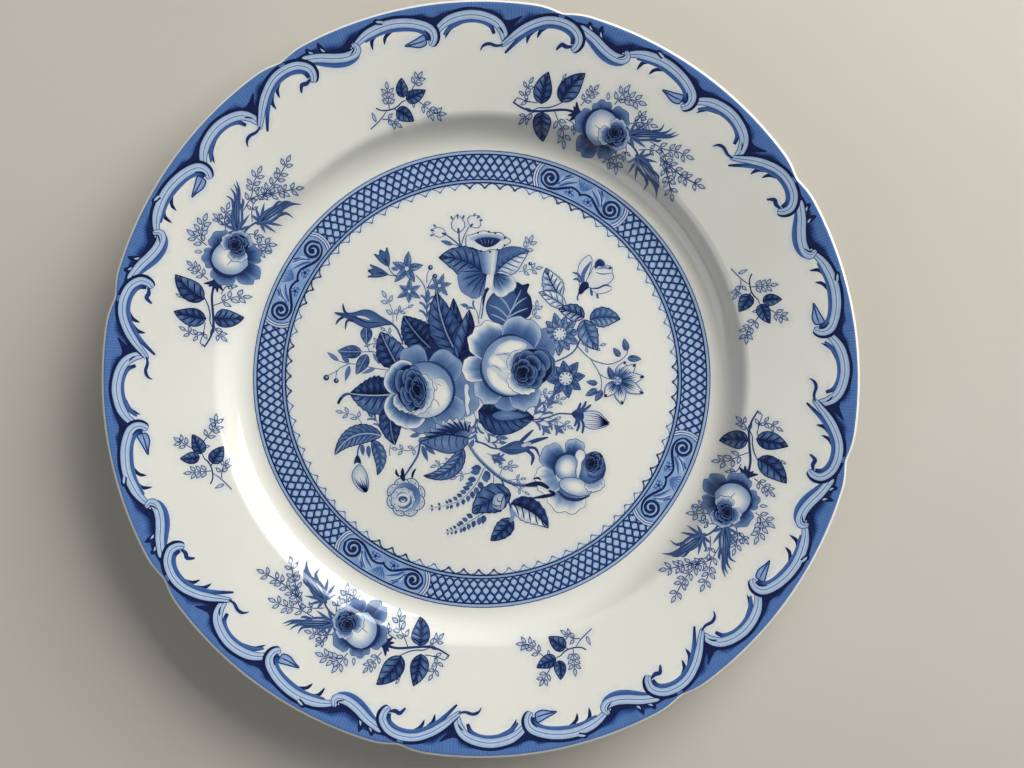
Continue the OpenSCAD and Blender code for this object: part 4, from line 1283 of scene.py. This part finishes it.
def thistle(ink, base, tip, width, lean):
    """A closed flower that breaks up into pointed petals."""
    axis = tip - base
    side = 1j * axis / abs(axis) * width / 2
    for share in (-1, 1):
        for reach, height in ((2.5, 0.52), (2.9, 0.24), (2.1, 0.0)):
            ink.small_leaf(base + axis * 0.08, base + axis * height + side * share * reach, 1.15, 0.66)
    for share, end in ((-1.5, 0.92), (1.6, 0.88), (-0.7, 1.12), (0.5, 1.3), (0.05, 1.22)):
        ink.line((base + axis * 0.4, base + axis * 0.62 + side * share * 0.5,
                  base + axis * mix(0.7, end, 0.6) + side * share * 0.7,
                  base + axis * end + side * (share + 3 * lean)), 0.95, 0.72, 1, 0.12)
    ink.shape((base - side * 0.2, base + axis * 0.25 - side, base + axis * 0.6 - side * 0.95,
               base + axis * 0.86, base + axis * 0.62 + side * 0.95, base + axis * 0.3 + side * 1.05,
               base + side * 0.2), fade(0.46, 0.68), base + axis * 0.45, edge=0.78)
    for share in (-0.6, -0.15, 0.35):
        ink.line((base + axis * 0.1, base + axis * 0.45 + side * share,
                  base + axis * 0.8 + side * share * 0.8), 0.35, 0.92, 0.5, 0.2)
    ink.line((base + axis * 0.3 + side * 0.6, base + axis * 0.6 + side * 0.55), 0.4, 0.2)


def spray_rose(ink):
    """The rose in a spray."""
    middle = 2.6-6.8j
    for reach, start, stop, waves in ((9.6, 196, 262, 3), (10.6, 254, 326, 4), (10.2, -42, 34, 3),
                                      (9.6, 26, 92, 3), (9.8, 84, 158, 3)):
        ink.petal(middle, 4, reach, start, stop, 0.88, 0.44, 0.1, waves)
    ink.petal(-0.6-7j, 3, 6.8, 128, 236, 0.7, 0.2, 0.1, 4)
    ink.ball(3.6-6.4j, 13.2, 11.2, 90, -0.02, 0.34, 0.6j, 0.9)
    for start, span, radius, width in ((-70, 130, 6.3, 1.4), (60, 80, 6.1, 0.9), (-95, 40, 6.4, 0.9)):
        ink.line([3.4-6.4j + polar(radius, start + span * j / 5) for j in range(6)], width, 0.88, 0.3,
                 0.3)
    ink.line((0.6-7j, 3.4-7.4j, 6-6.8j), 0.4, 0.45)
    ink.petal(-2.2-6.6j, 2.4, 5.4, 28, 128, 0.6, 0.12, 0.1, 4, rise=0.3)
    ink.petal(-2-7j, 2.4, 5.6, -80, 30, 0.55, 0.1, 0.1, 4, rise=0.3)
    whorl(ink, -2.6-7j, 3.5, 3.4, 10, 4, 0.3+0.2j, 1.0, 0.45)


def rose_spray(number):
    """One spray on the rim: a rose with two closed flowers before it and a leafy stem behind it."""
    ink = Print(f"rose_spray_cobalt_{number}")
    ink.place = rim_place(number, SPRAY_AT, SPRAY_R)
    spray_twigs(ink)
    ink.line((10.5-5.6j, 16-6.5j, 19-7.6j, 23-10j, 27-12.2j, 31-13.3j, 35.6-13.1j), 0.85, 0.85, 1, 0.6)
    ink.line((19.4-4.6j, 21.6-7.4j, 24-9.4j, 26.4-10.6j, 28-12.4j), 0.45, 0.75, 0.8, 0.6)
    ink.line((-5-6.6j, -9-7.2j, -12-8.6j, -13.6-10.4j), 0.7, 0.75, 1, 0.8)
    ink.leaf(20.3-5.3j, 17.2+7j, 7.2, -0.06, 0.6, 0.78, 0.95, 4, 0, full=0.72)
    ink.leaf(26.3-9j, 29+1.6j, 6.4, -0.05, 0.78, 0.6, 0.95, 4, 0, full=0.72)
    ink.leaf(24.4-11.4j, 20-19.2j, 6.4, 0.05, 0.74, 0.6, 0.95, 4, 0, full=0.66)
    for tip in (15.4-2.8j, 15.6-4.6j, 16.2-6.4j, 16-8.2j, 14.6-9.6j):
        ink.line((10.2-6.4j, mix(12.6-6.4j, tip, 0.35), tip), 1.3, 0.92, 1, 0.25)
    thistle(ink, -5.6-5j, -18.6+1.2j, 3.5, -0.25)
    thistle(ink, -12.4-9.6j, -23.6-15.2j, 3.8, 0.25)
    spray_rose(ink)
    ink.bleed()
    return ink


def small_sprig(number):
    """One small sprig on the rim: three dark leaves with fine twigs about them."""
    ink = Print(f"sprig_cobalt_{number}")
    ink.place = rim_place(number, SPRIG_AT, SPRIG_R)
    for stem, leaves, size in (((5-2.5j, 4.3+0.6j, 3.7+3.8j), 3, 3),
                               ((-4.6+1.6j, -6.8+3.6j, -7.9+4.6j), 2, 3),
                               ((-5.4-2.2j, -7.8-5.2j, -9.6-7.8j, -11.4-8.6j), 4, 3),
                               ((8.4-5.2j, 5.8-6j, 4.2-7.6j), 2, 2.8)):
        ink.twig(stem, leaves, size * 1.06, 0.74, hollow=True, width=0.34)
    ink.small_leaf(10.8-5.6j, 11.3-1.8j, 1.4, 0.66, True)
    ink.small_leaf(-4-2.2j, -3.6-4.6j, 1.2, 0.66, True)
    ink.line((-1.6-1.2j, 0-1.4j, 1.6-2.3j, 3.6-2.8j, 6-2.7j, 8-2.1j, 9.4-1j), 0.5, 0.85, 0.6, 1)
    ink.line((6-2.8j, 8.2-4.6j, 10.6-6j, 13.4-7.4j), 0.4, 0.75, 0.6, 1)
    ink.line((2.4-3.9j, 2.9-3.2j, 3.2-2.7j), 0.4, 0.85)
    ink.leaf(-1.1+0j, -2.3+6.4j, 4.2, -0.04, 0.6, 0.78, 0.95, 3, 0, full=0.72)
    ink.leaf(-1.8-0.9j, -9.3+0.3j, 4.6, 0.04, 0.62, 0.76, 0.95, 4, 0, full=0.66)
    ink.leaf(2.6-3.6j, -2.2-8.7j, 5, -0.03, 0.62, 0.76, 0.95, 3, 0, full=0.66)
    ink.bleed()
    return ink


# ---------------------------------------------------------------- the body and its glaze

def face_path(sunk, fine):
    """The section from the middle of the well to the tip of the lip and back to the foot."""
    def wall(t):
        return WELL_WALL + (RIM_WALL - WELL_WALL) * t / BOOGE_SLOPE
    path = [(0, WELL_Z - sunk), (40, WELL_Z - sunk)]
    path += arc(HOLLOW, -HOLLOW_R - sunk, 0, BOOGE_SLOPE, 4 * fine)
    path += arc(CREST, CREST_R - sunk, BOOGE_SLOPE, RIM_SLOPE, 2 * fine + 2)
    path += [(SCALLOP_FROM, face_height(SCALLOP_FROM) - sunk / COS_R)]
    path += arc((LIP_X, LIP_Z), LIP_R - sunk, RIM_SLOPE, -180 + RIM_SLOPE, 2 * fine + 4)
    path += [(SCALLOP_FROM, face_height(SCALLOP_FROM) - (RIM_WALL - sunk) / COS_R)]
    path += arc(CREST, CREST_R - RIM_WALL + sunk, RIM_SLOPE, BOOGE_SLOPE, fine)
    for k in range(2 * fine + 1):
        t = BOOGE_SLOPE * (1 - k / (2 * fine))
        path.append(arc_point(HOLLOW, -HOLLOW_R - wall(t) + sunk, t))
    return path


def fillet(corner, before, after, radius, steps=5):
    """A rounded corner between two straight stretches."""
    c, b, a = (complex(*p) for p in (corner, before, after))
    u, v = (b - c) / abs(b - c), (a - c) / abs(a - c)
    reach = radius / math.tan(abs(cmath.phase(u / v)) / 2)
    start, end = c + u * reach, c + v * reach
    curve = []
    for k in range(steps + 1):
        t = k / steps
        z = start * (1 - t) ** 2 + 2 * c * t * (1 - t) + end * t ** 2
        curve.append((z.real, z.imag))
    return curve


UNDER_Z = WELL_Z - WELL_WALL


def foot_side(sign, out, low_z, sunk):
    """One side of the foot, from the underside down. Sign is 1 outside and -1 inside."""
    radius = FOOT_OUT_R if sign > 0 else FOOT_IN_R

    def at(z):
        return (radius + sign * (FOOT_FLARE * z / UNDER_Z + out), z)
    top = at(UNDER_Z + sunk)
    return fillet(top, (top[0] + sign * 5, top[1]), at(low_z), FOOT_FILLET) + [at(low_z)]


def lathe(name, section, segments):
    """A closed solid turned from a section, with its outer part drawn in to the scalloped edge."""
    vertices, faces, rings = [], [], []
    for r, z in section:
        if r == 0:
            rings.append([len(vertices)])
            vertices.append((0, 0, z * MM))
            continue
        rings.append(range(len(vertices), len(vertices) + segments))
        for k in range(segments):
            angle = NOTCH_ANGLE + 360 * k / segments
            radius = r if r <= SCALLOP_FROM else SCALLOP_FROM + (r - SCALLOP_FROM) * drawn_in(angle)
            point = polar(radius * MM, angle)
            vertices.append((point.real, point.imag, z * MM))
    count = len(rings)
    ends = section[0][0] == 0
    for i in range(count - 1 if ends else count):
        a, b = rings[i], rings[(i + 1) % count]
        for k in range(segments):
            n = (k + 1) % segments
            if len(a) == 1:
                faces.append((a[0], b[k], b[n]))
            elif len(b) == 1:
                faces.append((a[k], b[0], a[n]))
            else:
                faces.append((a[k], b[k], b[n], a[n]))
    return make_object(name, vertices, faces)


def make_object(name, vertices, faces):
    """A smooth-shaded mesh object in the scene."""
    mesh = bpy.data.meshes.new(name)
    mesh.from_pydata(vertices, [], faces)
    mesh.validate()
    mesh.polygons.foreach_set("use_smooth", [True] * len(mesh.polygons))
    piece = bpy.data.objects.new(name, mesh)
    bpy.context.collection.objects.link(piece)
    return piece


def make_biscuit(material):
    """The potted body. Only the foot's standing face is seen, where the glaze is wiped off."""
    bottom_out, bottom_in = (FOOT_OUT_R, 0.0), (FOOT_IN_R, 0.0)
    lean = FOOT_FLARE * WIPED_Z / UNDER_Z
    section = face_path(GLAZE, 3)
    section += foot_side(1, 0, WIPED_Z, GLAZE)
    section += fillet(bottom_out, (FOOT_OUT_R + lean, WIPED_Z), bottom_in, FOOT_ROUND)
    section += fillet(bottom_in, bottom_out, (FOOT_IN_R - lean, WIPED_Z), FOOT_ROUND)
    section += reversed(foot_side(-1, 0, WIPED_Z, GLAZE))
    section += [(0, UNDER_Z + GLAZE)]
    return finish_piece(lathe("plate_body", section, 360), material, "biscuit", "biscuit_body")


def make_glaze_coat(material):
    """The glaze over the face, the lip, the underside of the rim and the outside of the foot."""
    outer = face_path(0, 6) + foot_side(1, GLAZE, WIPED_Z, 0)
    inner = face_path(GLAZE, 2) + foot_side(1, 0, WIPED_Z, GLAZE)
    return finish_piece(lathe("plate_glaze", outer + inner[::-1], SEGMENTS), material, "glaze",
                        "glaze_coat")


def make_glaze_recess(material):
    """The glaze on the underside inside the foot."""
    outer = foot_side(-1, GLAZE, WIPED_Z, 0) + [(30, UNDER_Z), (0, UNDER_Z)]
    inner = foot_side(-1, 0, WIPED_Z, GLAZE) + [(30, UNDER_Z + GLAZE), (0, UNDER_Z + GLAZE)]
    section = inner[::-1] + outer
    return finish_piece(lathe("recess_glaze", section, 360), material, "glaze", "glaze_recess")


def finish_piece(piece, material, slot, *nodes):
    """Gives a piece its material, fixes it to the plate's body, and hides the CAD nodes it stands in
    for.
    """
    piece.data.materials.append(material)
    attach(piece, "root")
    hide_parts(*nodes)
    return piece


def refine(ink):
    """Splits the faces that lie on the curve from the rim into the booge until they follow it."""
    pending, done = ink.faces, []
    halves = {}

    def halfway(a, b):
        key = (min(a, b), max(a, b))
        if key not in halves:
            halves[key] = len(ink.points)
            ink.points.append((ink.points[a] + ink.points[b]) / 2)
            ink.tones.append((ink.tones[a] + ink.tones[b]) / 2)
            ink.levels.append(ink.levels[a])
        return halves[key]

    def centre_of(face):
        ink.points.append(sum(ink.points[k] for k in face) / len(face))
        ink.tones.append(sum(ink.tones[k] for k in face) / len(face))
        ink.levels.append(ink.levels[face[0]])
        return len(ink.points) - 1
    while pending:
        face = pending.pop()
        corners = [ink.points[k] for k in face]
        radii = [abs(z) for z in corners]
        size = max(abs(z - corners[k - 1]) for k, z in enumerate(corners))
        if min(radii) > RIM_R or max(radii) < WELL_R or size < CURVE_STEP:
            done.append(face)
            continue
        middle = centre_of(face)
        mids = [halfway(face[k], face[(k + 1) % len(face)]) for k in range(len(face))]
        pending += [(face[k], mids[k], middle, mids[k - 1]) for k in range(len(face))]
    ink.faces = done


def lay_print(ink, material, *nodes):
    """Lays flat artwork on the face of the plate."""
    refine(ink)
    used = sorted({k for face in ink.faces for k in face})
    number = {k: n for n, k in enumerate(used)}
    vertices = [on_face(ink.points[k], INK_BASE + INK_STEP * ink.levels[k]) for k in used]
    piece = make_object(ink.name, vertices, [[number[k] for k in face] for face in ink.faces])
    tone = piece.data.attributes.new("tone", "FLOAT", "POINT")
    tone.data.foreach_set("value", [ink.tones[k] for k in used])
    return finish_piece(piece, material, "cobalt_print", *nodes)


def new_material(name):
    """A material with its nodes, its links and its shader."""
    material = bpy.data.materials.new(name)
    material.use_nodes = True
    nodes = material.node_tree.nodes
    return material, nodes, material.node_tree.links, nodes["Principled BSDF"]


def add_noise(nodes, links, scale, detail, roughness=0.5):
    """Noise in the object's own space, with scale in features to the metre."""
    place = nodes.new("ShaderNodeTexCoord")
    noise = nodes.new("ShaderNodeTexNoise")
    noise.inputs["Scale"].default_value = scale
    noise.inputs["Detail"].default_value = detail
    noise.inputs["Roughness"].default_value = roughness
    links.new(place.outputs["Object"], noise.inputs["Vector"])
    return noise.outputs["Fac"]


def add_ramp(nodes, links, source, stops):
    """A colour ramp with stops of (position, colour), colours as linear RGB."""
    ramp = nodes.new("ShaderNodeValToRGB")
    elements = ramp.color_ramp.elements
    while len(elements) < len(stops):
        elements.new(1)
    for element, (position, colour) in zip(elements, stops):
        element.position = position
        element.color = (*colour, 1)
    links.new(source, ramp.inputs["Fac"])
    return ramp.outputs["Color"]


def add_sum(nodes, links, value, noise, amount):
    """The value plus noise that takes as much away as it adds, amount being its whole range."""
    scaled = nodes.new("ShaderNodeMath")
    scaled.operation = "MULTIPLY_ADD"
    links.new(noise, scaled.inputs[0])
    scaled.inputs[1].default_value = amount
    scaled.inputs[2].default_value = -amount / 2
    total = nodes.new("ShaderNodeMath")
    total.operation = "ADD"
    links.new(value, total.inputs[0])
    links.new(scaled.outputs[0], total.inputs[1])
    return total.outputs[0]


def add_bump(nodes, links, shader, height, strength, distance):
    """Relief for a shader and its clear coat."""
    bump = nodes.new("ShaderNodeBump")
    bump.inputs["Strength"].default_value = strength
    bump.inputs["Distance"].default_value = distance
    links.new(height, bump.inputs["Height"])
    links.new(bump.outputs["Normal"], shader.inputs["Normal"])
    links.new(bump.outputs["Normal"], shader.inputs["Coat Normal"])


def glaze_gloss(shader):
    """The clear, glossy glaze over whatever colour is under it."""
    for name, value in (("Roughness", 0.4), ("IOR", 1.5), ("Specular IOR Level", 0.15),
                        ("Coat Weight", 1.0), ("Coat Roughness", 0.06), ("Coat IOR", 1.5)):
        shader.inputs[name].default_value = value


def ripple(nodes, links, shader):
    """The slight waves that stay on a dipped glaze."""
    add_bump(nodes, links, shader, add_noise(nodes, links, 90, 2), 0.05, 0.0006)


# Stops of the colour ramps, as linear RGB: the cream glaze's clouds, and two ways for cobalt under
# the glaze to deepen with its tone, a brighter blue for washes and a greyer one for engraving.
CREAM = ((0.0, (0.70, 0.687, 0.615)), (0.5, (0.745, 0.737, 0.672)), (1.0, (0.78, 0.772, 0.715)))
WASH = ((0.0, (0.75, 0.74, 0.67)), (0.13, (0.48, 0.58, 0.70)), (0.3, (0.23, 0.36, 0.60)),
        (0.5, (0.085, 0.185, 0.43)), (0.7, (0.030, 0.088, 0.28)), (0.86, (0.007, 0.024, 0.12)),
        (1.0, (0.0006, 0.003, 0.036)))
COBALT = ((0.0, (0.75, 0.74, 0.67)), (0.13, (0.52, 0.57, 0.62)), (0.3, (0.25, 0.345, 0.50)),
          (0.45, (0.125, 0.205, 0.375)), (0.6, (0.060, 0.122, 0.275)), (0.75, (0.024, 0.062, 0.185)),
          (0.88, (0.006, 0.02, 0.095)), (1.0, (0.0006, 0.003, 0.032)))


def glaze_material():
    """Cream glaze with faint clouds of tint, and the slight ripple of a dipped surface."""
    material, nodes, links, shader = new_material("cream_glaze")
    glaze_gloss(shader)
    clouds = add_noise(nodes, links, 28, 4)
    links.new(add_ramp(nodes, links, clouds, CREAM), shader.inputs["Base Color"])
    ripple(nodes, links, shader)
    return material


def cobalt_material(name, stops):
    """Cobalt under the glaze: the attribute tone sets how much, and its wash and stipple vary it."""
    material, nodes, links, shader = new_material(name)
    glaze_gloss(shader)
    tone = nodes.new("ShaderNodeAttribute")
    tone.attribute_name = "tone"
    washed = add_sum(nodes, links, tone.outputs["Fac"], add_noise(nodes, links, 420, 3), 0.1)
    stippled = add_sum(nodes, links, washed, add_noise(nodes, links, 3600, 1), 0.12)
    links.new(add_ramp(nodes, links, stippled, stops), shader.inputs["Base Color"])
    ripple(nodes, links, shader)
    return material


def biscuit_material():
    """Bare fired clay: matt, speckled, and greyed where the foot has rubbed."""
    material, nodes, links, shader = new_material("bare_biscuit")
    shader.inputs["Roughness"].default_value = 0.8
    specks = add_noise(nodes, links, 900, 6, 0.7)
    links.new(add_ramp(nodes, links, specks, ((0.3, (0.30, 0.27, 0.22)), (0.46, (0.56, 0.52, 0.44)),
                                              (0.8, (0.66, 0.62, 0.54)))), shader.inputs["Base Color"])
    add_bump(nodes, links, shader, add_noise(nodes, links, 2500, 4), 0.3, 0.0001)
    return material


def cloth_material():
    """The pale surface that the plate stands on."""
    material, nodes, links, shader = new_material("pale_table")
    shader.inputs["Roughness"].default_value = 0.75
    clouds = add_noise(nodes, links, 5, 5)
    links.new(add_ramp(nodes, links, clouds, ((0.2, (0.50, 0.47, 0.41)), (0.8, (0.56, 0.53, 0.47)))),
              shader.inputs["Base Color"])
    return material


# ---------------------------------------------------------------- floor, light and camera

def make_floor(material):
    """The plain table, which isn't part of the plate."""
    half = 1.5
    corners = [(-half, -half, 0), (half, -half, 0), (half, half, 0), (-half, half, 0)]
    floor = make_object("table_top", corners, [(0, 1, 2, 3)])
    floor.data.materials.append(material)


def aim(thing, target):
    """Turns a thing so that it looks at the target."""
    thing.rotation_mode = "QUATERNION"
    thing.rotation_quaternion = (Vector(target) - thing.location).to_track_quat("-Z", "Y")


def add_light(name, place, size, power, colour):
    """A soft rectangular light that faces the plate."""
    lamp = bpy.data.lights.new(name, "AREA")
    lamp.shape = "RECTANGLE"
    lamp.size, lamp.size_y = size
    lamp.energy = power
    lamp.color = colour
    light = bpy.data.objects.new(name, lamp)
    bpy.context.collection.objects.link(light)
    light.location = place
    aim(light, (0, 0, 0.01))


def light_room():
    """Daylight from a window at the upper right, and what the room throws back."""
    bpy.context.scene.view_settings.view_transform = "Standard"
    world = bpy.data.worlds.new("room")
    bpy.context.scene.world = world
    world.use_nodes = True
    background = world.node_tree.nodes["Background"]
    background.inputs["Color"].default_value = (0.93, 0.95, 1.0, 1)
    background.inputs["Strength"].default_value = 0.14
    add_light("window", (0.95, 0.9, 0.78), (1.5, 1.1), 34.5, (1.0, 0.99, 0.965))
    for name, height in (("low_pane", 0.5), ("high_pane", 0.9)):
        add_light(name, (0.9, 0.85, height), (1.0, 0.1), 2.2, (1.0, 0.99, 0.97))
    add_light("far_wall", (-1.3, -0.9, 1.2), (1.4, 1.2), 8, (0.96, 0.98, 1.0))


def add_camera():
    """Straight above the plate, a little to its right."""
    camera = bpy.data.cameras.new("camera")
    camera.lens = 43.7
    camera.sensor_width = 36
    camera.clip_start = 0.02
    holder = bpy.data.objects.new("camera", camera)
    bpy.context.collection.objects.link(holder)
    holder.location = (0.011, -0.0018, 0.459)
    holder.rotation_euler = (0, 0, 0)
    bpy.context.scene.camera = holder


add_camera()
light_room()
make_floor(cloth_material())
glaze = glaze_material()
engraved = cobalt_material("engraved_cobalt", COBALT)
washed = cobalt_material("washed_cobalt", WASH)
make_biscuit(biscuit_material())
make_glaze_coat(glaze)
make_glaze_recess(glaze)
lay_print(border(), washed, "border_print")
lay_print(verge(), washed, "verge_print")
lay_print(bouquet(), engraved, "bouquet_print")
for number in range(1, SPRAY_COUNT + 1):
    lay_print(rose_spray(number), engraved, f"rose_spray_print_{number}")
    lay_print(small_sprig(number), engraved, f"sprig_print_{number}")
